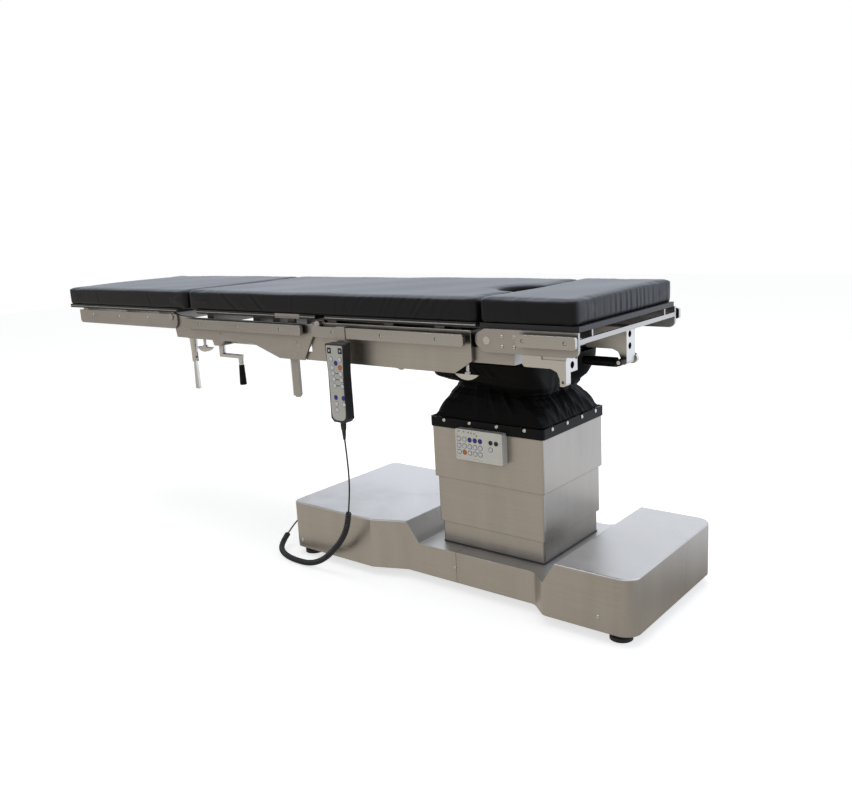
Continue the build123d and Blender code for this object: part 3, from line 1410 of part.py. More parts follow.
def make_handset():
    low = handset_top_z - handset_height
    waist_z = handset_top_z - handset_waist_share * handset_height
    half_top = handset_top_width / 2
    half_waist = handset_waist_width / 2
    half_low = handset_bottom_width / 2
    outline = [(handset_x - half_top, handset_top_z), (handset_x + half_top, handset_top_z),
               (handset_x + half_waist, waist_z), (handset_x + half_low, low + handset_corner),
               (handset_x + half_low - handset_corner, low), (handset_x - half_low + handset_corner, low),
               (handset_x - half_low, low + handset_corner), (handset_x - half_waist, waist_z)]
    front_y = handset_back_y - handset_depth
    case = side_profile(outline, front_y, handset_back_y)
    case = crosswise_round(case, handset_x - half_top, handset_top_z, handset_corner / 2)
    case = crosswise_round(case, handset_x + half_top, handset_top_z, handset_corner / 2)
    centre_y = handset_back_y - handset_depth / 2
    neck = rod_z(low - handset_neck_length, low + overrun, handset_x, centre_y, handset_neck_radius)
    save("handset", case + neck)
    rail_face_y = -half_table - rail_stand_off - rail_thickness
    hook_x0 = handset_x - hook_width / 2
    hook_x1 = handset_x + hook_width / 2
    top_z = rail_z + rail_height / 2
    front = block(hook_x0, hook_x1, handset_back_y, rail_face_y - flat_fit / 2,
                  handset_top_z - hook_drop, top_z + flat_fit + hook_thickness)
    lip_y = rail_face_y + rail_thickness + flat_fit
    roof_z = top_z + flat_fit
    roof = block(hook_x0, hook_x1, rail_face_y - flat_fit, lip_y + hook_thickness, roof_z,
                 roof_z + hook_thickness)
    lip = block(hook_x0, hook_x1, lip_y, lip_y + hook_thickness, top_z - 3 * hook_thickness,
                roof_z + hook_thickness)
    save("handset_hook", front + roof + lip)


lead_radius = 2.25
curl_outer_radius = 8.5
curl_count = 88
curl_samples = 12
curl_lead_out = 4.0
curl_measure_shares = (0.0, 0.33, 0.67)
plug_radius = 8.5
plug_length = 25.0
plug_seated = 14.0
plug_boot_length = 12.0
plug_boot_radius = 3.5
plug_x = base_left_x - socket_flange_thickness

# The cord's route: down from the handset, along the floor past the corner of the base, up to its socket
lead_points = [(292.0, -285.5, 436.0), (292.0, -285.5, 404.0), (297.0, -287.0, 362.0), (301.0, -288.5, 316.0),
               (300.0, -288.5, 270.0), (294.0, -287.5, 230.0), (288.0, -287.0, 198.0)]
curl_points = [(288.0, -287.0, 198.0), (281.0, -286.4, 160.7), (257.0, -285.0, 116.0), (218.0, -284.0, 74.0),
               (172.0, -284.5, 34.0), (120.0, -287.0, 11.5), (66.0, -288.0, 9.0), (14.0, -281.0, 9.4),
               (-34.0, -261.0, 12.0), (-60.0, -231.0, 22.0), (-70.0, -196.0, 38.0)]
tail_points = [(-70.0, -196.0, 38.0), (-73.3, -184.5, 43.3), (-74.0, -170.5, 52.5), (-71.0, -156.5, 63.5),
               (-66.5, -144.5, 73.0), (-57.5, -135.3, 80.0), (-44.0, -130.0, 84.0), (-30.0, -130.0, 84.0)]


def route_radii(points):
    """The largest arcs that the runs allow: 0.45 of the shorter run over the tangent of half the turn."""
    radii = []
    for before, at, after in zip(points, points[1:], points[2:]):
        first = Vector(*at) - Vector(*before)
        second = Vector(*after) - Vector(*at)
        turn = radians(first.get_angle(second))
        radii.append(0.45 * min(first.length, second.length) / tan(turn / 2))
    return radii


def tube_along(points, radius):
    radii = route_radii(points)
    print("cord radii", [round(r, 1) for r in radii])
    path = FilletPolyline(*points, radius=radii)
    start = Plane(origin=path @ 0, z_dir=path % 0)
    tube = sweep(start * Circle(radius), path=path)
    print("cord tube volume", round(tube.volume), "expected", round(pi * radius ** 2 * path.length),
          "length", round(path.length))
    return tube


def curl_line(route):
    """Points on the curls' centre line: straight ends, then turns whose frame is carried along the route."""
    straight = 2 * lead_radius
    swing = curl_outer_radius - lead_radius
    count = curl_count * curl_samples
    span = route.length - 2 * straight - 2 * curl_lead_out
    side = Vector(1, 0, 0)
    line = []
    for k in range(count + 1):
        ease_in = min(2 * k / curl_samples, 1)
        ease_out = min(2 * (count - k) / curl_samples, 1)
        along = straight + span * k / count + curl_lead_out * (1 + ease_in - ease_out)
        spot = route.position_at(along, position_mode=PositionMode.LENGTH)
        way = route.tangent_at(along, position_mode=PositionMode.LENGTH)
        side = (side - way * side.dot(way)).normalized()
        turn = 2 * pi * k / curl_samples
        share = min(ease_in, ease_out)
        reach = swing * share * share * (3 - 2 * share)
        line.append(spot + side * (reach * cos(turn)) + way.cross(side) * (reach * sin(turn)))
    return line


def biarc(start, start_way, end, end_way):
    """Two arcs from start to end, tangent to each other and to the two directions."""
    chord = end - start
    square = 2 * (start_way.dot(end_way) - 1)
    linear = -2 * chord.dot(start_way + end_way)
    steady = chord.dot(chord)
    reach = (-linear - (linear ** 2 - 4 * square * steady) ** 0.5) / (2 * square)
    middle = (start + end + (start_way - end_way) * reach) / 2
    middle_way = (middle - start - start_way * reach).normalized()
    return [TangentArc(start, middle, tangent=start_way), TangentArc(middle, end, tangent=middle_way)]


def least_gap(path, radius):
    """The least gap of the wound tube to itself, between points more than half a turn apart."""
    spots = [tuple(edge @ share) for edge in path.edges() for share in curl_measure_shares]
    apart = curl_samples * 2 // 3
    nearest = min(dist(spots[i], spots[j]) for i in range(len(spots)) for j in range(i + apart, len(spots)))
    return nearest - 2 * radius


def make_curls(points):
    """One unbroken tube: each half turn is a biarc, and both ends run straight for one diameter."""
    radii = route_radii(points)
    print("curl route radii", [round(r, 1) for r in radii])
    route = FilletPolyline(*points, radius=radii)
    line = curl_line(route)
    step = curl_samples // 2
    places = [(line[0], route % 0)]
    for k in range(step, len(line) - 1, step):
        places.append((line[k], (line[k + 1] - line[k - 1]).normalized()))
    places.append((line[-1], route % 1))
    edges = [Line(route @ 0, line[0])]
    for (start, start_way), (end, end_way) in zip(places, places[1:]):
        edges.extend(biarc(start, start_way, end, end_way))
    edges.append(Line(line[-1], route @ 1))
    path = Wire(edges)
    tube = sweep(Plane(origin=path @ 0, z_dir=path % 0) * Circle(lead_radius), path=path)
    bends = [edge.radius for edge in edges if edge.geom_type == GeomType.CIRCLE]
    print("curls", curl_count, "least gap", round(least_gap(path, lead_radius), 2), "tightest bend",
          round(min(bends), 2), "wire length", round(path.length), "volume", round(tube.volume), "expected",
          round(pi * lead_radius ** 2 * path.length), "route length", round(route.length))
    return tube


def make_cord():
    save("cord_lead", tube_along(lead_points, lead_radius))
    save("cord_tail", tube_along(tail_points, lead_radius))
    save("cord_curl", make_curls(curl_points))
    boot_x = plug_x - plug_length
    body = rod_x(boot_x + plug_boot_length, plug_x, socket_y, socket_z, plug_radius)
    boot = loft([Plane.YZ.offset(boot_x) * Pos(socket_y, socket_z) * Circle(plug_boot_radius),
                 Plane.YZ.offset(boot_x + plug_boot_length) * Pos(socket_y, socket_z) * Circle(plug_radius)])
    body = body + boot
    tip = rod_x(plug_x - overrun, plug_x + plug_seated, socket_y, socket_z, socket_bore_radius - flat_fit)
    save("cord_plug", body + tip)


make_casing()
make_chassis()
make_feet()
make_base_units()
make_sockets()
make_covers()
make_strip_screws()
make_column()
make_column_head()
make_tilt_cross()
make_saddle()
make_rails()
make_seat_frame()
make_seat_covers()
make_seat_pins()
make_boards()
make_pads()
make_back_frame()
make_head_hinge_pins()
make_bridge()
make_gearboxes()
make_bridge_shafts()
make_crank()
make_release_lever()
make_knob("head_clamp_knob", head_knob_x, head_knob_wing_z, back_beam_z - flat_fit)
make_knob("leg_clamp_knob", leg_knob_x, leg_knob_wing_z, seat_beam_z - flat_fit)
make_head_frame()
make_leg_frame()
make_leg_brackets()
make_leg_strut()
make_control_panel()
make_bellows()
make_handset()
make_cord()
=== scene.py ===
import json
import math
import bpy
import bmesh
import numpy as np
from mathutils import Matrix, Vector


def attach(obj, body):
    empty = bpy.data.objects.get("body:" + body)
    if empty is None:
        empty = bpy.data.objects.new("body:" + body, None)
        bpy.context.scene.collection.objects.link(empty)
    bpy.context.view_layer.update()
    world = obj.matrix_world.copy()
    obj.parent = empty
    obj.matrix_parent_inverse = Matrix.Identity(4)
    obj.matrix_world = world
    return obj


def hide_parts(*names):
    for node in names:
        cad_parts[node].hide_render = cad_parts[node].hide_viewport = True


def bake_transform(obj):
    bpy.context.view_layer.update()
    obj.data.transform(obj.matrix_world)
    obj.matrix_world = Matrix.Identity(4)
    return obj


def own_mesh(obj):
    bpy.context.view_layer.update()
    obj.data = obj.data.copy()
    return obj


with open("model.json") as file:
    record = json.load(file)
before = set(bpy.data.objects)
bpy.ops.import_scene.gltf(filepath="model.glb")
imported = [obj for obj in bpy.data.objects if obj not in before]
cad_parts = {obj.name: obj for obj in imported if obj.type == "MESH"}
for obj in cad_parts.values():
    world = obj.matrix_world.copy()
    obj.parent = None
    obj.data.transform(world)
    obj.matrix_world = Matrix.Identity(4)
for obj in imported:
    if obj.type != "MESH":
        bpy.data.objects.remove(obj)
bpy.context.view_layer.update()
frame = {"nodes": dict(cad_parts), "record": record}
scene = bpy.context.scene
scene.view_settings.view_transform = "Standard"
mm = 0.001
print("frame loaded:", len(frame["nodes"]), "nodes")

# Camera: measured from the photograph, in metres and degrees
cameraValues = dict(place=(1.88866, -1.86765, 0.97747), yaw=39.64, pitch=-12.21, roll=-3.13,
                    lens=36.98, sensor=36.0)


def makeCamera(values):
    yaw, pitch, roll = (math.radians(values[key]) for key in ("yaw", "pitch", "roll"))
    forward = Vector((-math.sin(yaw) * math.cos(pitch), math.cos(yaw) * math.cos(pitch), math.sin(pitch)))
    right = forward.cross(Vector((0, 0, 1))).normalized()
    up = right.cross(forward)
    turnedRight = right * math.cos(roll) + up * math.sin(roll)
    turnedUp = up * math.cos(roll) - right * math.sin(roll)
    data = bpy.data.cameras.new("photoCamera")
    data.lens = values["lens"]
    data.sensor_width = values["sensor"]
    camera = bpy.data.objects.new("photoCamera", data)
    scene.collection.objects.link(camera)
    turn = Matrix((turnedRight, turnedUp, -forward)).transposed().to_4x4()
    camera.matrix_world = Matrix.Translation(Vector(values["place"])) @ turn
    scene.camera = camera


makeCamera(cameraValues)
print("camera placed")


# Mesh helpers
def gridFaces(rows, columns, closedRows=False, closedColumns=True):
    # a quad between each pair of neighbouring rows and columns, worked out as index arrays
    r = np.arange(rows if closedRows else rows - 1)[:, None]
    c = np.arange(columns if closedColumns else columns - 1)[None, :]
    nextRow, nextColumn = (r + 1) % rows, (c + 1) % columns
    corners = [r * columns + c, r * columns + nextColumn, nextRow * columns + nextColumn, nextRow * columns + c]
    return np.stack(np.broadcast_arrays(*corners), -1).reshape(-1, 4)


def capFaces(first, count, flip=False):
    ring = np.arange(first, first + count)
    return [tuple(int(i) for i in (ring[::-1] if flip else ring))]


def shellFaces(rows, columns):
    # the faces of a closed shell of rings: its wall, and a cap on the first and the last ring
    return list(gridFaces(rows, columns)) + capFaces(0, columns, True) + capFaces((rows - 1) * columns, columns)


def meshFrom(name, points, faces, smooth=True):
    mesh = bpy.data.meshes.new(name)
    mesh.from_pydata(np.asarray(points, float).reshape(-1, 3).tolist(), [], [tuple(f) for f in faces])
    mesh.validate()
    mesh.polygons.foreach_set("use_smooth", np.full(len(mesh.polygons), smooth))
    mesh.update()
    piece = bpy.data.objects.new(name, mesh)
    scene.collection.objects.link(piece)
    return piece


def stacked(parts):
    # joins several (points, faces) parts into one, with each part's indices moved past those before it
    points, faces, used = [], [], 0
    for partPoints, partFaces in parts:
        partPoints = np.asarray(partPoints, float).reshape(-1, 3)
        points.append(partPoints)
        faces.extend(tuple(int(i) + used for i in face) for face in partFaces)
        used += len(partPoints)
    return np.concatenate(points), faces


def frameFor(axis):
    # two directions square to the axis
    axis = np.asarray(axis, float) / np.linalg.norm(axis)
    side = np.cross(axis, (0, 0, 1) if abs(axis[2]) < 0.9 else (1, 0, 0))
    side = side / np.linalg.norm(side)
    return axis, side, np.cross(axis, side)


def turned(centre, axis, profile, sides=24, wave=None):
    # a profile of (radius, height) pairs turned about the axis through the centre; wave is a radius factor per side
    axis, side, other = frameFor(axis)
    profile = np.asarray(profile, float)
    angle = np.linspace(0, 2 * np.pi, sides, endpoint=False)
    ring = np.cos(angle)[:, None] * side + np.sin(angle)[:, None] * other
    factor = np.ones(sides) if wave is None else wave
    points = (np.asarray(centre, float) + profile[:, None, 1:] * axis
              + (profile[:, :1] * factor)[:, :, None] * ring[None])
    return points.reshape(-1, 3), shellFaces(len(profile), sides)


def tubeAlong(path, radius, sides=10, reference=(0, 1, 0), outward=None):
    # a circle of the radius carried along the path, square to it; outward points set the circle's first direction
    path = np.asarray(path, float)
    way = np.gradient(path, axis=0)
    way = way / np.linalg.norm(way, axis=1, keepdims=True)
    start = np.broadcast_to(np.asarray(reference, float), path.shape) if outward is None else outward
    start = start - way * np.sum(start * way, axis=1, keepdims=True)
    start = start / np.linalg.norm(start, axis=1, keepdims=True)
    other = np.cross(way, start)
    angle = np.linspace(0, 2 * np.pi, sides, endpoint=False)
    radius = np.broadcast_to(np.asarray(radius, float), (len(path),))
    points = path[:, None] + radius[:, None, None] * (np.cos(angle)[None, :, None] * start[:, None]
                                                      + np.sin(angle)[None, :, None] * other[:, None])
    return points.reshape(-1, 3), shellFaces(len(path), sides)


def roundOutline(x0, x1, half, corner, perSide=60, notch=None):
    # a rectangle with round corners, walked anticlockwise; the notch is a half ellipse cut into its right side
    arc = np.linspace(0, np.pi / 2, 9)[1:-1]
    run = np.linspace(0, 1, perSide)
    right = np.column_stack([np.full(perSide, x1), -half + corner + run * 2 * (half - corner)])
    if notch is not None:
        depth, reach = notch
        turn = np.linspace(-np.pi / 2, np.pi / 2, perSide)
        lower = np.column_stack([np.full(20, x1), np.linspace(-half + corner, -reach, 20)])
        upper = np.column_stack([np.full(20, x1), np.linspace(reach, half - corner, 20)])
        bite = np.column_stack([x1 - depth * np.cos(turn), reach * np.sin(turn)])[1:-1]
        right = np.concatenate([lower, bite, upper])
    top = np.column_stack([x1 - corner - run * (x1 - x0 - 2 * corner), np.full(perSide, half)])
    left = np.column_stack([np.full(perSide, x0), half - corner - run * 2 * (half - corner)])
    low = np.column_stack([x0 + corner + run * (x1 - x0 - 2 * corner), np.full(perSide, -half)])

    def bend(cx, cy, start):
        return np.column_stack([cx + corner * np.cos(start + arc), cy + corner * np.sin(start + arc)])

    return np.concatenate([right, bend(x1 - corner, half - corner, 0), top,
                           bend(x0 + corner, half - corner, np.pi / 2), left,
                           bend(x0 + corner, -half + corner, np.pi), low,
                           bend(x1 - corner, -half + corner, 3 * np.pi / 2)])


# Finishes
def addNode(tree, kind, inputs=None, **settings):
    node = tree.nodes.new(kind)
    for key, value in settings.items():
        setattr(node, key, value)
    for key, value in (inputs or {}).items():
        node.inputs[key].default_value = value
    return node


def finish(name, color, roughness, metallic=0.0, tint=0.12, spread=0.08, grain=(60.0, 60.0, 60.0), grainBump=0.1,
           grainDepth=0.0002, blotch=2.5, specular=0.5, anisotropic=0.0, edge=0.0, cells=0.0, paintedGapShade=0.0, warp=0.0,
           streak=(1.0, 1.0, 1.0)):
    # grain noise and wide blotches on Object coordinates vary the colour and the roughness, and grain or cells
    # give the bump; streak stretches the blotches along an axis; a gap-shade amount paints shade into gaps and corners
    material = bpy.data.materials.new(name)
    material.use_nodes = True
    tree = material.node_tree
    tree.nodes.clear()
    output = addNode(tree, "ShaderNodeOutputMaterial")
    shader = addNode(tree, "ShaderNodeBsdfPrincipled", {"Metallic": metallic, "Specular IOR Level": specular,
                                                        "Anisotropic": anisotropic})
    place = addNode(tree, "ShaderNodeTexCoord")
    scaled = addNode(tree, "ShaderNodeMapping", {"Scale": grain})
    fine = addNode(tree, "ShaderNodeTexNoise", {"Scale": 1.0, "Detail": 4.0, "Roughness": 0.6})
    wide = addNode(tree, "ShaderNodeTexNoise", {"Scale": blotch, "Detail": 3.0, "Roughness": 0.55})
    both = addNode(tree, "ShaderNodeMath", operation="ADD")
    half = addNode(tree, "ShaderNodeMath", {1: 0.5}, operation="MULTIPLY")
    dark = tuple(c * (1 - tint) for c in color) + (1.0,)
    light = tuple(min(1.0, c * (1 + tint)) for c in color) + (1.0,)
    mix = addNode(tree, "ShaderNodeMix", data_type="RGBA")
    mix.inputs[6].default_value, mix.inputs[7].default_value = dark, light
    rough = addNode(tree, "ShaderNodeMapRange", {"From Min": 0.3, "From Max": 0.7,
                                                 "To Min": max(0.02, roughness - spread), "To Max": roughness + spread})
    bump = addNode(tree, "ShaderNodeBump", {"Strength": grainBump, "Distance": grainDepth})
    link = tree.links.new
    link(place.outputs["Object"], scaled.inputs["Vector"])
    link(scaled.outputs["Vector"], fine.inputs["Vector"])
    stretched = addNode(tree, "ShaderNodeMapping", {"Scale": streak})
    link(place.outputs["Object"], stretched.inputs["Vector"])
    link(stretched.outputs["Vector"], wide.inputs["Vector"])
    link(fine.outputs["Fac"], both.inputs[0])
    link(wide.outputs["Fac"], both.inputs[1])
    link(both.outputs[0], half.inputs[0])
    link(half.outputs[0], mix.inputs[0])
    link(half.outputs[0], rough.inputs["Value"])
    if paintedGapShade:
        # painted shade: narrow gaps and corners grow darker, as the ambient occlusion scales the base colour down
        openness = addNode(tree, "ShaderNodeAmbientOcclusion", {"Distance": 0.045}, samples=6)
        reachShade = addNode(tree, "ShaderNodeMapRange", {"From Min": 0.15, "From Max": 0.85, "To Min": 1.0 - paintedGapShade,
                                                          "To Max": 1.0})
        shaded = addNode(tree, "ShaderNodeVectorMath", operation="SCALE")
        link(openness.outputs["AO"], reachShade.inputs["Value"])
        link(mix.outputs[2], shaded.inputs[0])
        link(reachShade.outputs["Result"], shaded.inputs["Scale"])
        link(shaded.outputs[0], shader.inputs["Base Color"])
    else:
        link(mix.outputs[2], shader.inputs["Base Color"])
    link(rough.outputs["Result"], shader.inputs["Roughness"])
    height = fine.outputs["Fac"]
    if cells:
        cell = addNode(tree, "ShaderNodeTexVoronoi", {"Scale": cells}, feature="SMOOTH_F1")
        link(place.outputs["Object"], cell.inputs["Vector"])
        height = cell.outputs["Distance"]
    link(height, bump.inputs["Height"])
    if warp:
        # the sheet is never quite flat: long shallow waves under the grain
        waves = addNode(tree, "ShaderNodeTexNoise", {"Scale": 5.0, "Detail": 2.0, "Roughness": 0.5})
        bend = addNode(tree, "ShaderNodeBump", {"Strength": warp, "Distance": 0.01})
        link(place.outputs["Object"], waves.inputs["Vector"])
        link(waves.outputs["Fac"], bend.inputs["Height"])
        link(bend.outputs["Normal"], bump.inputs["Normal"])
    if edge:
        rounded = addNode(tree, "ShaderNodeBevel", {"Radius": edge}, samples=4)
        link(rounded.outputs["Normal"], bend.inputs["Normal"] if warp else bump.inputs["Normal"])
    link(bump.outputs["Normal"], shader.inputs["Normal"])
    link(shader.outputs["BSDF"], output.inputs["Surface"])
    return material


steelColor = (0.42, 0.40, 0.375)
# metal finishes given a gap-shade amount carry painted shade in their gaps and corners
finishes = {
    "stainless": finish("brushedStainless", steelColor, 0.34, 1.0, grain=(5.0, 420.0, 420.0), grainBump=0.06,
                        grainDepth=0.0001, tint=0.30, spread=0.10, edge=0.0024, anisotropic=0.3, paintedGapShade=0.7,
                        warp=0.12, blotch=6.0, streak=(3.0, 3.0, 0.35)),
    "polished_steel": finish("polishedSteel", (0.42, 0.41, 0.395), 0.24, 1.0, grain=(12.0, 300.0, 300.0),
                             grainBump=0.04, grainDepth=0.0001, tint=0.08, edge=0.0012, paintedGapShade=0.7),
    "frame_steel": finish("frameSteel", (0.40, 0.385, 0.37), 0.38, 1.0, grain=(20.0, 160.0, 160.0), edge=0.0010,
                          tint=0.22, paintedGapShade=0.85, blotch=9.0, streak=(1.0, 2.0, 3.0)),
    "hardware_steel": finish("hardwareSteel", (0.55, 0.54, 0.53), 0.24, 1.0, grain=(180.0, 180.0, 180.0),
                             grainBump=0.05, edge=0.0005, paintedGapShade=0.7),
    # dark cast metal, its colour lowered further as painted shade for the saddle, which sits in shadow under the seat
    "cast_steel": finish("castSteelWithPaintedShade", (0.24, 0.24, 0.235), 0.45, 1.0, grain=(420.0, 420.0, 420.0), grainBump=0.25,
                         grainDepth=0.0002, edge=0.0010, paintedGapShade=0.85),
    "tube_steel": finish("tubeSteel", (0.30, 0.29, 0.27), 0.35, 1.0, grain=(40.0, 40.0, 300.0)),
    "foot_rubber": finish("footRubber", (0.012, 0.012, 0.013), 0.6, grain=(300.0, 300.0, 300.0), grainBump=0.2),
    "unit_case": finish("unitCase", (0.10, 0.105, 0.11), 0.5, grain=(500.0, 500.0, 500.0), grainBump=0.2),
    "battery_case": finish("batteryCase", (0.03, 0.032, 0.036), 0.5, grain=(500.0, 500.0, 500.0), grainBump=0.2),
    "black_plastic": finish("blackPlastic", (0.008, 0.008, 0.009), 0.32, grain=(700.0, 700.0, 700.0),
                            grainBump=0.15, edge=0.0008, specular=0.10),
    "lever_chrome": finish("satinChrome", (0.50, 0.49, 0.47), 0.18, 1.0, grain=(200.0, 200.0, 60.0),
                           grainBump=0.03, edge=0.0006),
    "panel_foil": finish("panelFoil", (0.72, 0.71, 0.68), 0.4, 0.35, grain=(600.0, 600.0, 600.0), grainBump=0.08,
                         tint=0.05, edge=0.0006),
    "handset_plastic": finish("handsetPlastic", (0.013, 0.013, 0.015), 0.45, grain=(800.0, 800.0, 800.0),
                              grainBump=0.3, edge=0.0015),
    "cord_rubber": finish("cordRubber", (0.011, 0.011, 0.012), 0.40, grain=(400.0, 400.0, 400.0), grainBump=0.1),
    "bellows_rubber": finish("bellowsCloth", (0.0024, 0.0024, 0.0027), 0.6, grain=(900.0, 900.0, 900.0),
                             grainBump=0.35, grainDepth=0.0003, tint=0.25, specular=0.09),
    "board_black": finish("boardBlack", (0.012, 0.012, 0.014), 0.5, grain=(300.0, 300.0, 300.0), grainBump=0.2),
    "pad_leatherette": finish("padLeatherette", (0.0085, 0.0090, 0.0115), 0.40, tint=0.16, spread=0.05,
                              grain=(900.0, 900.0, 900.0), cells=900.0, grainBump=0.22, grainDepth=0.0003,
                              blotch=1.8, specular=0.21),
}
slotOfNode = {nodeName: row["slot"] for row in frame["record"]["materials"] for nodeName in row.get("nodes", [])}
brightBrackets = finish("brightBracket", (0.56, 0.55, 0.53), 0.36, 1.0, grain=(20.0, 160.0, 160.0), edge=0.0012,
                        paintedGapShade=0.6)
for nodeName, node in frame["nodes"].items():
    slotName = slotOfNode.get(nodeName)
    for place in node.material_slots:
        key = slotName or place.material.name.split(".")[0]
        if key in finishes:
            place.material = finishes[key]
        else:
            print("no finish for", nodeName, key)
for place in frame["nodes"]["leg_brackets"].material_slots:
    place.material = brightBrackets
print("finishes made:", len(finishes))


def dress(piece, slotName, body=None, nodes=(), material=None):
    piece.data.materials.clear()
    piece.data.materials.append(material or finishes[slotName])
    if nodes:
        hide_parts(*nodes)
    if body:
        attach(piece, body)
    return piece


# Cord: the handset's lead, its curls and the plain end into the plug; millimetres from the part
leadRoute = np.array([(292.0, -285.5, 436.0), (292.0, -285.5, 404.0), (297.0, -287.0, 362.0),
                      (301.0, -288.5, 316.0), (300.0, -288.5, 270.0), (294.0, -287.5, 230.0),
                      (288.0, -287.0, 198.0)]) * mm
curlRoute = np.array([(288.0, -287.0, 198.0), (281.0, -286.4, 160.7), (257.0, -285.0, 116.0), (218.0, -284.0, 74.0),
                      (172.0, -284.5, 34.0), (120.0, -287.0, 11.5), (66.0, -288.0, 9.0), (14.0, -281.0, 9.4),
                      (-34.0, -261.0, 12.0), (-60.0, -231.0, 22.0), (-70.0, -196.0, 38.0)]) * mm
tailRoute = np.array([(-70.0, -196.0, 38.0), (-73.3, -184.5, 43.3), (-74.0, -170.5, 52.5), (-71.0, -156.5, 63.5),
                      (-66.5, -144.5, 73.0), (-57.5, -135.3, 80.0), (-44.0, -130.0, 84.0),
                      (-30.0, -130.0, 84.0)]) * mm
cordValues = dict(diameter=0.0045, curls=88, outer=0.017, perCurl=16, leadSplits=(0.36, 0.64), leadSteps=180,
                  tailPoints=90)


def routeLine(points, resolution=24):
    # the smooth line through a NURBS spline with the route's points as its control points
    data = bpy.data.curves.new("route", "CURVE")
    data.dimensions = "3D"
    spline = data.splines.new("NURBS")
    spline.points.add(len(points) - 1)
    spline.points.foreach_set("co", np.column_stack([points, np.ones(len(points))]).ravel())
    spline.order_u = 3
    spline.use_endpoint_u = True
    spline.resolution_u = resolution
    holder = bpy.data.objects.new("route", data)
    scene.collection.objects.link(holder)
    bpy.context.view_layer.update()
    mesh = bpy.data.meshes.new_from_object(holder.evaluated_get(bpy.context.evaluated_depsgraph_get()))
    line = np.zeros(len(mesh.vertices) * 3)
    mesh.vertices.foreach_get("co", line)
    bpy.data.objects.remove(holder)
    return line.reshape(-1, 3)


def evenly(line, count):
    # the line's points again, evenly spaced along its length
    along = np.concatenate([[0], np.cumsum(np.linalg.norm(np.diff(line, axis=0), axis=1))])
    at = np.linspace(0, along[-1], count)
    return np.column_stack([np.interp(at, along, line[:, i]) for i in range(3)]), along[-1]


def pathLength(path):
    return float(np.linalg.norm(np.diff(path, axis=0), axis=1).sum())


def makeCord(values):
    radius = values["diameter"] / 2
    pieces = []
    steps = values["leadSteps"]
    lead, _ = evenly(routeLine(leadRoute), steps + 1)
    cuts = [0] + [int(round(share * steps)) for share in values["leadSplits"]] + [steps]
    for label, i, j in zip(("Top", "Middle", "Bottom"), cuts, cuts[1:]):
        path = lead[i:j + 1]
        points, faces = tubeAlong(path, radius, 12)
        pieces.append((meshFrom("cordLead" + label, points, faces), path))
    line, _ = evenly(routeLine(curlRoute), values["curls"] * values["perCurl"] + 1)
    # the curls: a circle of the coil's radius turned about the route as it advances, drawn in over the first
    # and last half turn to a straight end
    way = np.gradient(line, axis=0)
    way /= np.linalg.norm(way, axis=1, keepdims=True)
    side = np.array((0, 1.0, 0)) - way * way[:, 1:2]
    side /= np.linalg.norm(side, axis=1, keepdims=True)
    other = np.cross(way, side)
    k = np.arange(len(line))
    share = np.clip(np.minimum(k, len(line) - 1 - k) / (0.5 * values["perCurl"]) - 0.6, 0, 1)
    swing = (values["outer"] / 2 - radius) * share * share * (3 - 2 * share)
    turn = 2 * np.pi * k / values["perCurl"]
    outward = np.cos(turn)[:, None] * side + np.sin(turn)[:, None] * other
    path = line + swing[:, None] * outward
    points, faces = tubeAlong(path, radius, 8, outward=outward)
    pieces.append((meshFrom("cordCurls", points, faces), path))
    tail, _ = evenly(routeLine(tailRoute), values["tailPoints"])
    points, faces = tubeAlong(tail, radius, 12, reference=(0, 0, 1))
    pieces.append((meshFrom("cordTail", points, faces), tail))
    nodes = (["cord_lead"], [], [], ["cord_curl"], ["cord_tail"])
    for (piece, path), nodeNames, name in zip(pieces, nodes, ("lead", "lead", "lead", "curl", "tail")):
        dress(piece, "cord_rubber", nodes=nodeNames)
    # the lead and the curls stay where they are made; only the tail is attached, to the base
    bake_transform(pieces[0][0])
    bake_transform(pieces[1][0])
    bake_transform(pieces[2][0])
    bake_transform(pieces[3][0])
    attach(pieces[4][0], "base")
    print("cord made, lengths in mm:", [round(pathLength(p) * 1000) for _, p in pieces])


makeCord(cordValues)


# Pads: foam blocks in leatherette covers, filled out by a short cloth simulation
padValues = dict(low=0.7195, top=0.7735, half=0.2465, corner=0.014, voxel=0.005, pressure=3.5, cap=0.004,
                 frames=20, crown=0.0015)
wrinkleLines = [  # near side: X and Z of both ends, then depth and width, in mm
    (-211, 763, -147, 721, 1.6, 4.0), (-138, 755, -100, 722, 0.7, 3.5), (-85, 766, -40, 728, 1.6, 4.0),
    (257, 766, 250, 728, 0.6, 4.0), (298, 766, 280, 735, 0.8, 4.0), (345, 768, 313, 730, 1.1, 4.0),
    (380, 768, 351, 748, 1.0, 3.5), (432, 768, 404, 722, 0.9, 4.0), (452, 768, 425, 729, 0.9, 4.0),
    (492, 770, 459, 725, 1.4, 4.0), (540, 770, 509, 729, 1.7, 4.0), (572, 771, 521, 722, 1.9, 4.5),
    (597, 768, 576, 738, 0.9, 4.0), (633, 765, 597, 724, 1.2, 4.5), (-600, 768, -580, 730, 0.5, 6.0),
    (-900, 766, -885, 732, 0.5, 6.0), (820, 768, 830, 730, 0.5, 6.0), (90, 768, 84, 730, 0.5, 5.0)]
endGathers = [(-197, 0.7), (-164, 0.8), (-120, 0.5), (-90, 0.6), (-65, 1.2), (-40, 1.6), (-10, 1.5), (12, 1.7),
              (43, 1.6), (62, 1.0), (82, 1.3), (105, 0.7), (130, 1.0), (165, 0.5), (205, 0.6)]  # Y and depth, mm


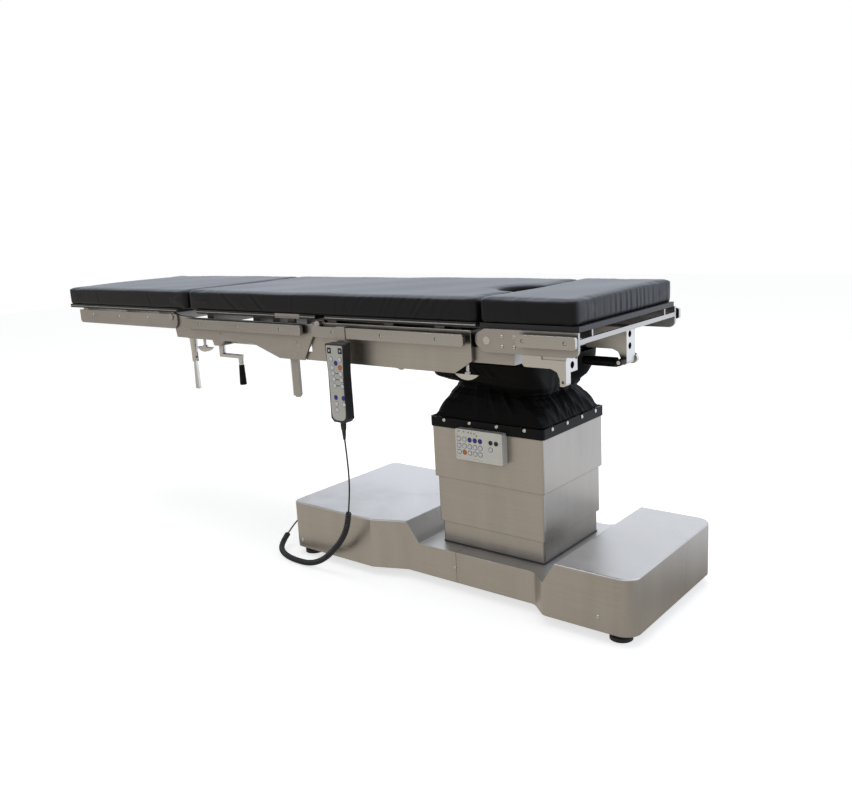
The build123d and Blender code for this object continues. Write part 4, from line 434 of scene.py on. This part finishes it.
def padBlank(name, x0, x1, values, notch=None):
    # rings of the pad's outline at rising levels, drawn in at the foot and at the top edge
    levels = np.array([0.0, 0.06, 0.25, 0.5, 0.75, 0.92, 0.98, 1.0])
    insets = np.array([2.2, 0.6, 0.2, 0.0, 0.1, 0.3, 0.8, 1.8]) * mm
    rings = []
    for level, inset in zip(levels, insets):
        cut = None if notch is None else (notch[0] + inset, notch[1] + inset)
        outline = roundOutline(x0 + inset, x1 - inset, values["half"] - inset, values["corner"] - inset * 0.6,
                               notch=cut)
        z = values["low"] + level * (values["top"] - values["low"])
        rings.append(np.column_stack([outline, np.full(len(outline), z)]))
    return meshFrom(name, np.concatenate(rings), shellFaces(len(rings), len(rings[0])))


def applied(piece):
    mesh = bpy.data.meshes.new_from_object(piece.evaluated_get(bpy.context.evaluated_depsgraph_get()))
    piece.modifiers.clear()
    piece.data = mesh
    return piece


def coordinates(piece):
    co = np.zeros(len(piece.data.vertices) * 3)
    piece.data.vertices.foreach_get("co", co)
    return co.reshape(-1, 3)


def setCoordinates(piece, co):
    piece.data.vertices.foreach_set("co", co.astype(np.float32).ravel())
    piece.data.update()


def fillOut(piece, values):
    # voxel remesh, then twenty frames of cloth under pressure, each point held within the cap of where it was
    remesh = piece.modifiers.new("remesh", "REMESH")
    remesh.mode = "VOXEL"
    remesh.voxel_size = values["voxel"]
    applied(piece)
    before = coordinates(piece)
    cloth = piece.modifiers.new("cloth", "CLOTH")
    cloth.settings.quality = 5
    cloth.settings.tension_stiffness = 12
    cloth.settings.compression_stiffness = 12
    cloth.settings.use_pressure = True
    cloth.settings.uniform_pressure_force = values["pressure"]
    cloth.settings.effector_weights.gravity = 0.0
    cloth.point_cache.frame_start, cloth.point_cache.frame_end = 1, values["frames"]
    for step in range(1, values["frames"] + 1):
        scene.frame_set(step)
    applied(piece)
    scene.frame_set(1)
    move = coordinates(piece) - before
    size = np.linalg.norm(move, axis=1, keepdims=True)
    move = move * np.minimum(1, values["cap"] / np.maximum(size, 1e-9))
    setCoordinates(piece, before + move)
    piece.data.polygons.foreach_set("use_smooth", np.full(len(piece.data.polygons), True))
    return piece


def wrinkled(piece, values, low, high):
    # each wrinkle presses the cover in along a line, as a Gaussian valley that fades at the line's ends, with a
    # small ridge beside it
    co = coordinates(piece)
    z = co[:, 2]
    span = (z - values["low"]) / (values["top"] - values["low"])
    side = np.clip((-co[:, 1] - (values["half"] - 0.012)) / 0.008, 0, 1)
    push = np.zeros(len(co))
    for xTop, zTop, xLow, zLow, depth, width in wrinkleLines:
        start, end = np.array((xTop, zTop)) * mm, np.array((xLow, zLow)) * mm
        line = end - start
        length = np.linalg.norm(line)
        line = line / length
        rel = np.column_stack([co[:, 0], z]) - start
        along = rel @ line / length
        off = (rel[:, 0] * line[1] - rel[:, 1] * line[0]) / (width * mm)
        window = np.clip(along * 6 + 1, 0, 1) * np.clip((1 - along) * 6 + 1, 0, 1)
        push += depth * mm * window * (np.exp(-off ** 2) - 0.7 * np.exp(-(off - 1.7) ** 2))
    co[:, 1] += push * side
    # the far side has the same kind of slanting folds, at seeded places
    random = np.random.default_rng(31)
    far = np.clip((co[:, 1] - (values["half"] - 0.012)) / 0.008, 0, 1)
    for centre, slant, depth in zip(random.uniform(low, high, 14), random.uniform(-0.6, 0.6, 14),
                                    random.uniform(0.5, 1.5, 14)):
        off = (co[:, 0] - centre - slant * (z - 0.745)) / 0.0045
        co[:, 1] -= depth * mm * np.exp(-off ** 2) * far * np.clip(4 * span * (1 - span), 0, 1)
    # soft unevenness of the top: long low swells, and faint puckers along the edges
    top = np.clip((z - values["top"] + 0.006) / 0.006, 0, 1)
    swell = np.sin(co[:, 0] * 9.0 + 1.3) * np.cos(co[:, 1] * 11.0 + co[:, 0] * 3.0) + 0.6 * np.sin(
        co[:, 0] * 23.0 - co[:, 1] * 17.0)
    edge = np.exp(-((values["half"] - np.abs(co[:, 1])) / 0.035) ** 2)
    pucker = edge * np.sin(co[:, 0] * 210.0 + 3 * np.sin(co[:, 0] * 31.0))
    co[:, 2] += top * (swell * 0.0008 + pucker * 0.00025)
    co[:, 2] = np.maximum(co[:, 2], values["low"] - 0.0001)
    setCoordinates(piece, co)


def gathered(piece, values, x1):
    # upright gathers in the cover's end face
    co = coordinates(piece)
    span = np.clip((co[:, 2] - values["low"]) / (values["top"] - values["low"]), 0, 1)
    face = np.clip((co[:, 0] - (x1 - 0.012)) / 0.008, 0, 1) * (np.clip(1.4 - span, 0, 1))
    push = np.zeros(len(co))
    for y, depth in endGathers:
        off = (co[:, 1] - y * mm - 0.004 * (1 - span)) / 0.0038
        push += depth * mm * (np.exp(-off ** 2) - 0.6 * np.exp(-(off - 1.6) ** 2))
    co[:, 0] -= push * face
    setCoordinates(piece, co)


def splitAt(piece, name, x):
    # cuts the piece across at x and closes both halves; returns the half beyond x as a new piece
    other = piece.copy()
    other.data = piece.data.copy()
    other.name = other.data.name = name
    scene.collection.objects.link(other)
    for target, keepRight in ((piece, False), (other, True)):
        work = bmesh.new()
        work.from_mesh(target.data)
        cut = bmesh.ops.bisect_plane(work, geom=work.verts[:] + work.edges[:] + work.faces[:], plane_co=(x, 0, 0),
                                     plane_no=(1, 0, 0), clear_inner=keepRight, clear_outer=not keepRight)
        rim = [e for e in cut["geom_cut"] if isinstance(e, bmesh.types.BMEdge)]
        closed = bmesh.ops.edgeloop_fill(work, edges=rim)
        for face in closed["faces"]:
            face.smooth = False
        for rimEdge in rim:
            rimEdge.smooth = False
        bmesh.ops.recalc_face_normals(work, faces=work.faces[:])
        work.to_mesh(target.data)
        work.free()
    return other


def makePads(values):
    head = fillOut(padBlank("headPad", -1.0855, -0.3915, values), values)
    wrinkled(head, values, -1.0, -0.45)
    middle = fillOut(padBlank("backPad", -0.3845, 0.7050, values, notch=(0.084, 0.074)), values)
    wrinkled(middle, values, -0.3, 0.6)
    leg = fillOut(padBlank("legPad", 0.7110, 0.9690, values), values)
    wrinkled(leg, values, 0.75, 0.93)
    gathered(leg, values, 0.9690)
    bridge = splitAt(middle, "bridgePad", 0.058)
    seat = splitAt(bridge, "seatPad", 0.150)
    for piece, nodes in ((head, ["head_pad"]), (middle, ["back_pad"]), (bridge, []), (seat, ["seat_pad"]),
                         (leg, ["leg_pad"])):
        dress(piece, "pad_leatherette", nodes=nodes)
    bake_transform(middle)
    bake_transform(bridge)
    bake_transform(seat)
    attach(head, "head")
    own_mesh(head)
    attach(leg, "leg")
    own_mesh(leg)
    print("pads made:", [len(p.data.polygons) for p in (head, middle, bridge, seat, leg)])


makePads(padValues)


# Bellows: a black cloth hood gathered between the strip and the saddle
bellowsValues = dict(centre=(0.648, 0.0), low=0.4548, middle=0.520, high=0.6078, halfX=0.1662, halfY=0.1452,
                     columns=520, foldDepth=0.0062, skirtDepth=0.0030, pocketDepth=0.037, pocketY=0.036,
                     pocketHalf=0.062, wall=0.0012, lowerRows=50, upperRows=54)


def bellowsSurface(values, low, high, rows):
    # a rounded rectangle at each level: full at the strip, drawn in at a tuck that runs higher on the left than on
    # the right, and wide again in the skirt above it; sharp folds gather towards the tuck on the near right side
    z = np.linspace(low, high, rows)[:, None]
    share = (z - values["low"]) / (values["high"] - values["low"])
    angle = np.linspace(0, 2 * np.pi, values["columns"], endpoint=False)[None, :]
    c, s = np.cos(angle), np.sin(angle)
    power = np.interp(share, [0.0, 0.06, 0.3, 0.5, 0.75, 1.0], [18.0, 10.0, 5.0, 4.5, 7.0, 8.0])
    halfY = values["halfY"] * np.interp(share, [0.0, 0.5, 0.8, 1.0], [1.0, 1.0, 1.22, 1.25])
    reach = (np.abs(c / values["halfX"]) ** power + np.abs(s / halfY) ** power) ** (-1 / power)
    tuck = 0.50 - 0.11 * c - 0.03 * s + 0.02 * np.sin(3 * angle + 0.8)
    drawn = 0.77 + 0.07 * c
    below = np.clip(share / tuck, 0, 1)
    above = np.clip((share - tuck) / (1 - tuck), 0, 1)
    lower = 1 - (1 - drawn) * np.interp(below, [0, 0.15, 0.4, 0.65, 0.88, 1], [0, 0.03, 0.14, 0.36, 0.72, 1])
    upper = drawn + (0.96 - drawn) * np.interp(above, [0, 0.1, 0.3, 0.6, 1], [0, 0.6, 1.03, 1.02, 1.0])
    form = np.where(share < tuck, lower, upper)
    wander = angle + 0.16 * np.sin(3.4 * share + 2 * angle) + 0.45 * (share - 0.25) * np.sin(1.5 * angle + 0.7)
    ridge = 1 - 2 * np.abs(np.sin(10.5 * wander + 2.2 * share))
    fine = 1 - 2 * np.abs(np.sin(19.5 * wander - 3.0 * share + 1.3 * np.sin(3 * angle)))
    creases = 0.62 * ridge + 0.38 * fine
    gather = 0.22 + 0.78 / (1 + np.exp(-5 * (np.cos(angle + 0.55) - 0.15)))
    strength = np.where(share < tuck, gather * np.interp(below, [0, 0.1, 0.5, 1], [0, 0.35, 1.0, 0.9]),
                        np.interp(above, [0, 0.15, 0.6, 1], [0.9, 0.8, 0.6, 0.1]) * (0.35 + 0.65 * gather))
    depth = np.where(share < tuck, values["foldDepth"], values["skirtDepth"])
    slack = 0.004 * np.sin(2.3 * angle + 6 * share) * np.sin(np.pi * share)
    distance = reach * form + depth * strength * creases - 0.002 * strength + slack
    # a hollow at the right end, where the strut and the bracket swing in when the leg section hangs
    pocket = np.exp(-((distance * s - values["pocketY"]) / values["pocketHalf"]) ** 4) * (c > 0)
    pocketShare = np.interp(share, [0.42, 0.56, 0.76, 0.90, 1], [0, 1, 1, 0.6, 0])
    distance = distance - values["pocketDepth"] * pocket * pocketShare
    x, y = values["centre"][0] + distance * c, values["centre"][1] + distance * s
    points = np.stack(np.broadcast_arrays(x, y, z), -1)
    return points.reshape(-1, 3), list(gridFaces(rows, values["columns"]))


def makeBellows(values):
    for name, low, high, rows, bodies, nodes in (
            ("bellowsLower", values["low"], values["middle"], values["lowerRows"], ("lift_stage", "cross"),
             ["bellows"]),
            ("bellowsUpper", values["middle"], values["high"], values["upperRows"], ("cross", "saddle"), [])):
        points, faces = bellowsSurface(values, low, high, rows)
        piece = meshFrom(name, points, faces)
        wall = piece.modifiers.new("wall", "SOLIDIFY")
        wall.thickness = values["wall"]
        wall.offset = -1
        applied(piece)
        dress(piece, "bellows_rubber", nodes=nodes)
        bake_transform(piece)
    print("bellows made")


makeBellows(bellowsValues)


# Keys and marks on the control panel and the handset
keyInk = {
    "white": finish("whiteKey", (0.80, 0.81, 0.84), 0.35, grain=(500.0, 500.0, 500.0), grainBump=0.05),
    "blue": finish("blueKey", (0.020, 0.022, 0.30), 0.35, grain=(500.0, 500.0, 500.0), grainBump=0.05),
    "orange": finish("orangeKey", (0.75, 0.18, 0.01), 0.35, grain=(500.0, 500.0, 500.0), grainBump=0.05),
    "black": finish("blackMark", (0.010, 0.010, 0.010), 0.4, grain=(500.0, 500.0, 500.0), grainBump=0.05),
    "foil": finish("handsetFoil", (0.60, 0.595, 0.55), 0.42, 0.2, grain=(600.0, 600.0, 600.0), grainBump=0.06,
                   tint=0.05),
}
panelKeys = dict(face=-168.75, radius=5.4, rise=0.7, outline=1.1, rows=[
    ("white", 410, (582.5, 599)), ("blue", 410, (615.5, 631.5, 647.5)),
    ("white", 392.5, (582.5, 599, 615.5, 631.5, 647.5)), ("white", 392.5, (679,)),
    ("white", 375.8, (582.5, 615, 631.5, 647.5)), ("orange", 376, (598.8,))],
    rings=[(679.3, 410), (695.7, 409.7)],
    lamps=[(583, 429.5), (598, 429.5), (612, 428.5), (621, 428), (630, 427.5), (637, 423)])
handsetKeys = dict(face=-299.45, radius=5.8, rise=0.8, outline=0.9, rows=[
    ("white", 616, (278.6, 310)), ("blue", 605.7, (294.6,)), ("white", 593.5, (281,)), ("orange", 594.7, (308.8,)),
    ("white", 578.5, (282.2, 309.5)), ("white", 562.8, (284, 311.4)), ("white", 546, (285.8, 312.4)),
    ("blue", 514.6, (286.1, 313.3)), ("white", 498, (287, 313.6)), ("white", 482, (288,))],
    squares=[(273.7, 637.8), (312.7, 638.2)], marks=[(296, 578.8), (297, 562.7), (298.2, 546.6)])
markValues = dict(square=(6.6, 7.6, 0.5), hole=(2.2, 2.6, 0.8), bar=(0.9, 5.2, 1.3), thin=0.3, lampRadius=1.7)
foilValues = dict(centre=292, front=-299.45, back=-299.0,
                  heights=(651.5, 648, 620, 590, 560, 530, 500, 475, 462, 456, 453.5),
                  halves=(27.0, 29.4, 28.2, 26.6, 25.0, 24.6, 25.0, 25.2, 23.0, 18.0, 10.0))


def keyDisc(x, z, face, radius, rise, inner=0.0):
    # a low dome facing the near side, standing on the foil
    profile = [(radius, 0), (radius, rise * 0.6), (radius * 0.9, rise * 0.92), (radius * 0.55, rise)]
    if inner:
        profile = [(radius, 0), (radius, rise), (inner, rise), (inner, rise * 0.2)]
    return turned(np.array((x, face, z)) * mm, (0, -1, 0), np.array(profile) * mm, 28)


def flatBlock(x0, x1, y0, y1, z0, z1):
    # eight corners and six faces that point outwards
    points = np.array([(x, y, z) for x in (x0, x1) for y in (y0, y1) for z in (z0, z1)]) * mm
    return points, [(0, 1, 3, 2), (4, 6, 7, 5), (0, 4, 5, 1), (2, 3, 7, 6), (0, 2, 6, 4), (1, 5, 7, 3)]


def makeKeys(prefix, values, body, slotName):
    groups = {}
    face, radius, rise, thin = values["face"], values["radius"], values["rise"], markValues["thin"]

    def add(ink, parts):
        groups.setdefault(ink, []).extend(parts)

    for ink, z, places in values["rows"]:
        add(ink, [keyDisc(x, z, face, radius, rise) for x in places])
        # a thin dark outline round each key
        add("black", [keyDisc(x, z, face, radius + values["outline"], thin, radius - thin) for x in places])
    for x, z in values.get("rings", []):
        add("black", [keyDisc(x, z, face, radius * 1.1, rise, radius * 0.5)])
    for x, z in values.get("squares", []):
        wide, tall, out = markValues["square"]
        holeWide, holeTall, holeOut = markValues["hole"]
        add("black", [flatBlock(x - wide, x + wide, face - out, face, z - tall, z + tall)])
        add("white", [flatBlock(x - holeWide, x + holeWide, face - holeOut, face - out, z - holeTall, z + holeTall)])
    for x, z in values.get("marks", []):
        near, far, tall = markValues["bar"]
        add("black", [flatBlock(x - far, x - near, face - thin, face, z - tall, z + tall),
                      flatBlock(x + near, x + far, face - thin, face, z - tall, z + tall)])
    for x, z in values.get("lamps", []):
        add("black", [keyDisc(x, z, face, markValues["lampRadius"], thin)])
    for ink, parts in groups.items():
        piece = meshFrom(prefix + ink.capitalize(), *stacked(parts), smooth=False)
        dress(piece, slotName, body, material=keyInk[ink])


def makeHandsetFace(values):
    # the foil on the handset's front: its outline narrows to the waist and ends in an arc
    z, half = np.array(values["heights"]), np.array(values["halves"])
    right = np.column_stack([values["centre"] + half, z])
    left = np.column_stack([values["centre"] - half, z])[::-1]
    outline = np.concatenate([right, left])
    count = len(outline)
    front, back = (np.column_stack([outline[:, 0], np.full(count, values[side]), outline[:, 1]]) * mm
                   for side in ("front", "back"))
    piece = meshFrom("handsetFoil", np.concatenate([front, back]), shellFaces(2, count), smooth=False)
    work = bmesh.new()
    work.from_mesh(piece.data)
    bmesh.ops.recalc_face_normals(work, faces=work.faces[:])
    work.to_mesh(piece.data)
    work.free()
    dress(piece, "panel_foil", "seat", material=keyInk["foil"])


# Where the cord leaves the handset, and the seal at the foot of the column
reliefValues = dict(x=292.0, y=-285.5, profile=[(8.0, 449.0), (7.6, 434.0), (6.4, 426.0), (5.6, 424.0), (4.6, 410.0),
                                                (3.6, 400.0), (2.6, 398.0)],
                    ringDepth=0.25, ringPitch=3.0, ringFrom=415.0, rows=70)
gasketValues = dict(z=107.6, low=-0.2, high=2.6, inner=0.1, wide=2.4, corner=0.008)


def makeRelief(values):
    # the tapered sleeve where the cord leaves the handset, with fine rings across it
    profile = np.array(values["profile"])
    z = np.linspace(profile[0, 1], profile[-1, 1], values["rows"])
    rings = np.sin(2 * np.pi * (z - values["ringFrom"]) / values["ringPitch"])
    radius = np.interp(-z, -profile[:, 1], profile[:, 0]) + values["ringDepth"] * rings
    centre = np.array((values["x"], values["y"], 0.0)) * mm
    points, faces = turned(centre, (0, 0, 1), np.column_stack([radius, z])[::-1] * mm, 24)
    dress(meshFrom("cordRelief", points, faces), "handset_plastic", "seat")


def nodeBounds(name):
    corners = np.array([frame["nodes"][name].matrix_world @ Vector(c) for c in frame["nodes"][name].bound_box])
    return corners.min(0), corners.max(0)


def makeGasket(values):
    # a thin black sealing strip round the foot of the lowest cover
    low, high = (np.array(corner) for corner in nodeBounds("lower_cover"))
    rings = []
    for out, z in ((values["inner"], values["low"]), (values["wide"], values["low"]),
                   (values["wide"], values["high"] * 0.6), (values["inner"], values["high"])):
        grown = out * mm
        outline = roundOutline(low[0] - grown, high[0] + grown, high[1] + grown, values["corner"] + grown, perSide=12)
        rings.append(np.column_stack([outline, np.full(len(outline), (values["z"] + z) * mm)]))
    count = len(rings[0])
    points = np.concatenate(rings)
    piece = meshFrom("coverGasket", points, gridFaces(4, count, closedRows=True))
    dress(piece, "cord_rubber", "base")


makeHandsetFace(foilValues)
makeRelief(reliefValues)
makeGasket(gasketValues)
makeKeys("panelKeys", panelKeys, "lift_stage", "panel_foil")
makeKeys("handsetKeys", handsetKeys, "seat", "panel_foil")
print("keys made")


# Small screws, and the bright trims along the boards
screwValues = dict(sides=20, rise=1.8, railFace=267.8, railHead=4.3, railRise=1.7)
nearScrews = {  # body: (x, y of the face, z, head radius), near side and copied to the far side
    "base": [(30, -229.5, 47, 5.0), (566, -190.5, 66, 4.0), (1001, -229.5, 59, 5.0)],
    "head": [(-922, -250, 687, 3.6), (-761, -250, 687, 3.6), (-598, -250, 687, 3.6)],
    "leg": [(779, -250, 691, 4.2), (812, -250, 691, 4.2), (779, -250, 668, 4.2), (812, -250, 668, 4.2)],
    "back": [(-303, -250, 674, 3.4), (-235, -250, 650, 3.0), (94, -250, 643, 3.2), (108, -250, 634, 3.2),
             (93, -250, 608, 3.2)],
}
railScrews = {"seat": [(259, 679), (429, 679), (604, 679)], "back": [(-305.7, 679), (-128.2, 679), (54.5, 679)],
              "leg": [(846.6, 687), (952.3, 687)]}


def screwHead(x, face, z, radius, rise):
    # a low dome with a round recess, seated on a face across Y
    sign = -1.0 if face < 0 else 1.0
    recess = radius * 0.46
    profile = [(radius, 0), (radius, rise * 0.35), (radius * 0.82, rise * 0.8), (radius * 0.55, rise),
               (recess, rise), (recess * 0.95, rise * 0.25)]
    return turned(np.array((x, face, z)) * mm, (0, sign, 0), np.array(profile) * mm, screwValues["sides"])


def makeScrews():
    for body, rows in nearScrews.items():
        parts = [screwHead(x, side * face, z, radius, screwValues["rise"]) for x, face, z, radius in rows
                 for side in (1, -1)]
        dress(meshFrom(body + "Screws", *stacked(parts)), "hardware_steel", body)
    for body, rows in railScrews.items():
        # the heads sit in the rails' countersinks, a little under their faces
        parts = [screwHead(x, side * screwValues["railFace"], z, screwValues["railHead"], screwValues["railRise"])
                 for x, z in rows for side in (1, -1)]
        dress(meshFrom(body + "RailScrews", *stacked(parts)), "hardware_steel", body)


boardTrims = {"head": [(-1083, -453)], "back": [(-350, 7), (109, 169)], "seat": [(207, 701.5)],
              "bridge": [(9, 107)]}
trimValues = dict(inner=240.9, outer=242.3, low=711.5, high=714.0, headEnd=(-1084.8, -1083.4), half=241)


def makeTrims(values):
    # a thin bright edge strip along both long sides of each board, and across the head board's end
    low, high = values["low"], values["high"]
    for body, spans in boardTrims.items():
        parts = [flatBlock(x0, x1, *sorted((side * values["inner"], side * values["outer"])), low, high)
                 for x0, x1 in spans for side in (1, -1)]
        if body == "head":
            parts.append(flatBlock(*values["headEnd"], -values["half"], values["half"], low, high))
        dress(meshFrom(body + "BoardTrim", *stacked(parts), smooth=False), "polished_steel", body)


makeScrews()
makeTrims(trimValues)
print("screws and trims made")

# Floor, world and lamps
lampValues = dict(ambient=0.40, floorShade=0.80, floorGlow=0.66, floorHalf=9.0, floorDrop=0.0004,
                  farShare=(-0.30, 0.20), highShare=(0.30, 0.65), seenSky=(1.38, 1.48, 1.66),
                  seenBack=(0.62, 0.57, 0.51), reach=12.0,
                  seenFloor=[(-12.0, (0.30, 0.28, 0.25)), (-10.0, (0.32, 0.30, 0.27)), (-8.0, (0.46, 0.42, 0.37)),
                             (-6.6, (0.66, 0.61, 0.55)), (-5.2, (0.98, 0.93, 0.86)), (-3.8, (0.74, 0.69, 0.60)),
                             (-1.0, (0.72, 0.665, 0.58)), (0.6, (0.66, 0.61, 0.54)), (1.3, (0.42, 0.40, 0.37)),
                             (1.75, (0.90, 0.92, 0.97)), (2.1, (1.14, 1.17, 1.22)), (3.2, (0.86, 0.90, 0.97)),
                             (6.0, (1.45, 1.52, 1.65)), (12.0, (1.5, 1.6, 1.75))])


def makeWorld(values):
    # soft light for the object and pure white for the camera
    world = bpy.data.worlds.new("studio")
    scene.world = world
    world.use_nodes = True
    tree = world.node_tree
    tree.nodes.clear()
    output = addNode(tree, "ShaderNodeOutputWorld")
    soft = addNode(tree, "ShaderNodeBackground", {"Color": (0.97, 0.985, 1.0, 1.0), "Strength": values["ambient"]})
    sky = addNode(tree, "ShaderNodeBackground", {"Strength": 1.0})
    white = addNode(tree, "ShaderNodeBackground", {"Color": (1.0, 1.0, 1.0, 1.0), "Strength": 1.0})
    # reflections see a bright room beyond the table and a dim one on the near side
    where = addNode(tree, "ShaderNodeTexCoord")
    parts = addNode(tree, "ShaderNodeSeparateXYZ")
    share, high = (addNode(tree, "ShaderNodeMapRange", {"From Min": values[key][0], "From Max": values[key][1]})
                   for key in ("farShare", "highShare"))
    bright = addNode(tree, "ShaderNodeMath", operation="MAXIMUM")
    room = addNode(tree, "ShaderNodeMix", data_type="RGBA")
    room.inputs[6].default_value = values["seenBack"] + (1.0,)
    room.inputs[7].default_value = values["seenSky"] + (1.0,)
    link = tree.links.new
    link(where.outputs["Generated"], parts.inputs[0])
    link(parts.outputs["Y"], share.inputs["Value"])
    link(parts.outputs["Z"], high.inputs["Value"])
    link(share.outputs["Result"], bright.inputs[0])
    link(high.outputs["Result"], bright.inputs[1])
    link(bright.outputs[0], room.inputs[0])
    link(room.outputs[2], sky.inputs["Color"])
    ray = addNode(tree, "ShaderNodeLightPath")
    mirrored = addNode(tree, "ShaderNodeMath", operation="MAXIMUM")
    reflected = addNode(tree, "ShaderNodeMixShader")
    mix = addNode(tree, "ShaderNodeMixShader")
    link(ray.outputs["Is Glossy Ray"], mirrored.inputs[0])
    link(ray.outputs["Is Transmission Ray"], mirrored.inputs[1])
    link(mirrored.outputs[0], reflected.inputs[0])
    link(soft.outputs[0], reflected.inputs[1])
    link(sky.outputs[0], reflected.inputs[2])
    link(ray.outputs["Is Camera Ray"], mix.inputs[0])
    link(reflected.outputs[0], mix.inputs[1])
    link(white.outputs[0], mix.inputs[2])
    link(mix.outputs[0], output.inputs["Surface"])


def makeFloor(values):
    # a pale floor that keeps the shadow: the camera sees it lifted to white
    points = (np.array([(-1, -1, 0), (1, -1, 0), (1, 1, 0), (-1, 1, 0)], float) * values["floorHalf"]
              - (0, 0, values["floorDrop"]))
    floor = meshFrom("floor", points, [(0, 1, 2, 3)], smooth=False)
    material = bpy.data.materials.new("paleFloor")
    material.use_nodes = True
    tree = material.node_tree
    tree.nodes.clear()
    output = addNode(tree, "ShaderNodeOutputMaterial")
    shade = values["floorShade"]
    lit = addNode(tree, "ShaderNodeBsdfDiffuse", {"Color": (shade, shade, shade, 1.0)})
    glow = addNode(tree, "ShaderNodeEmission", {"Color": (1.0, 1.0, 1.0, 1.0), "Strength": values["floorGlow"]})
    both = addNode(tree, "ShaderNodeAddShader")
    mirrored = addNode(tree, "ShaderNodeEmission", {"Strength": 1.0})
    # in reflections the floor grows brighter and cooler towards the far right, where the light comes in
    where = addNode(tree, "ShaderNodeTexCoord")
    across = addNode(tree, "ShaderNodeVectorMath", {1: (1.0, 1.0, 0.0)}, operation="DOT_PRODUCT")
    reach = values["reach"]
    share = addNode(tree, "ShaderNodeMapRange", {"From Min": -reach, "From Max": reach})
    tones = addNode(tree, "ShaderNodeValToRGB")
    for index, (place, tone) in enumerate(values["seenFloor"]):
        at = (place + reach) / (2 * reach)
        last = index in (0, len(values["seenFloor"]) - 1)
        stop = tones.color_ramp.elements[0 if index == 0 else -1] if last else tones.color_ramp.elements.new(at)
        stop.color = tone + (1.0,)
    link = tree.links.new
    link(where.outputs["Object"], across.inputs[0])
    link(across.outputs["Value"], share.inputs["Value"])
    link(share.outputs["Result"], tones.inputs[0])
    link(tones.outputs["Color"], mirrored.inputs["Color"])
    ray = addNode(tree, "ShaderNodeLightPath")
    seen = addNode(tree, "ShaderNodeMixShader")
    mix = addNode(tree, "ShaderNodeMixShader")
    link(lit.outputs[0], both.inputs[0])
    link(glow.outputs[0], both.inputs[1])
    link(ray.outputs["Is Camera Ray"], seen.inputs[0])
    link(lit.outputs[0], seen.inputs[1])
    link(both.outputs[0], seen.inputs[2])
    link(ray.outputs["Is Glossy Ray"], mix.inputs[0])
    link(seen.outputs[0], mix.inputs[1])
    link(mirrored.outputs[0], mix.inputs[2])
    link(mix.outputs[0], output.inputs["Surface"])
    floor.data.materials.append(material)


def makeLamp(name, place, target, size, power, color, mirrored=True):
    data = bpy.data.lights.new(name, "AREA")
    data.shape = "RECTANGLE"
    data.size, data.size_y = size
    data.energy = power
    data.color = color
    lamp = bpy.data.objects.new(name, data)
    scene.collection.objects.link(lamp)
    lamp.location = place
    lamp.visible_glossy = mirrored
    lamp.rotation_euler = (Vector(target) - Vector(place)).to_track_quat("-Z", "Y").to_euler()


makeWorld(lampValues)
makeFloor(lampValues)
makeLamp("overhead", (-0.2, 0.3, 3.0), (0, 0, 0.5), (3.2, 2.2), 40.0, (0.96, 0.98, 1.0))
makeLamp("behind", (-1.2, 2.6, 2.6), (0, 0, 0.6), (3.0, 1.6), 8.0, (0.92, 0.96, 1.0), mirrored=False)
makeLamp("rightSide", (3.4, 0.6, 1.5), (0.3, 0, 0.5), (1.6, 1.6), 10.0, (0.72, 0.86, 1.0))
makeLamp("nearFill", (0.6, -3.2, 1.4), (0, 0, 0.5), (2.4, 1.4), 4.0, (1.0, 0.97, 0.93), mirrored=False)
print("floor and lamps made")
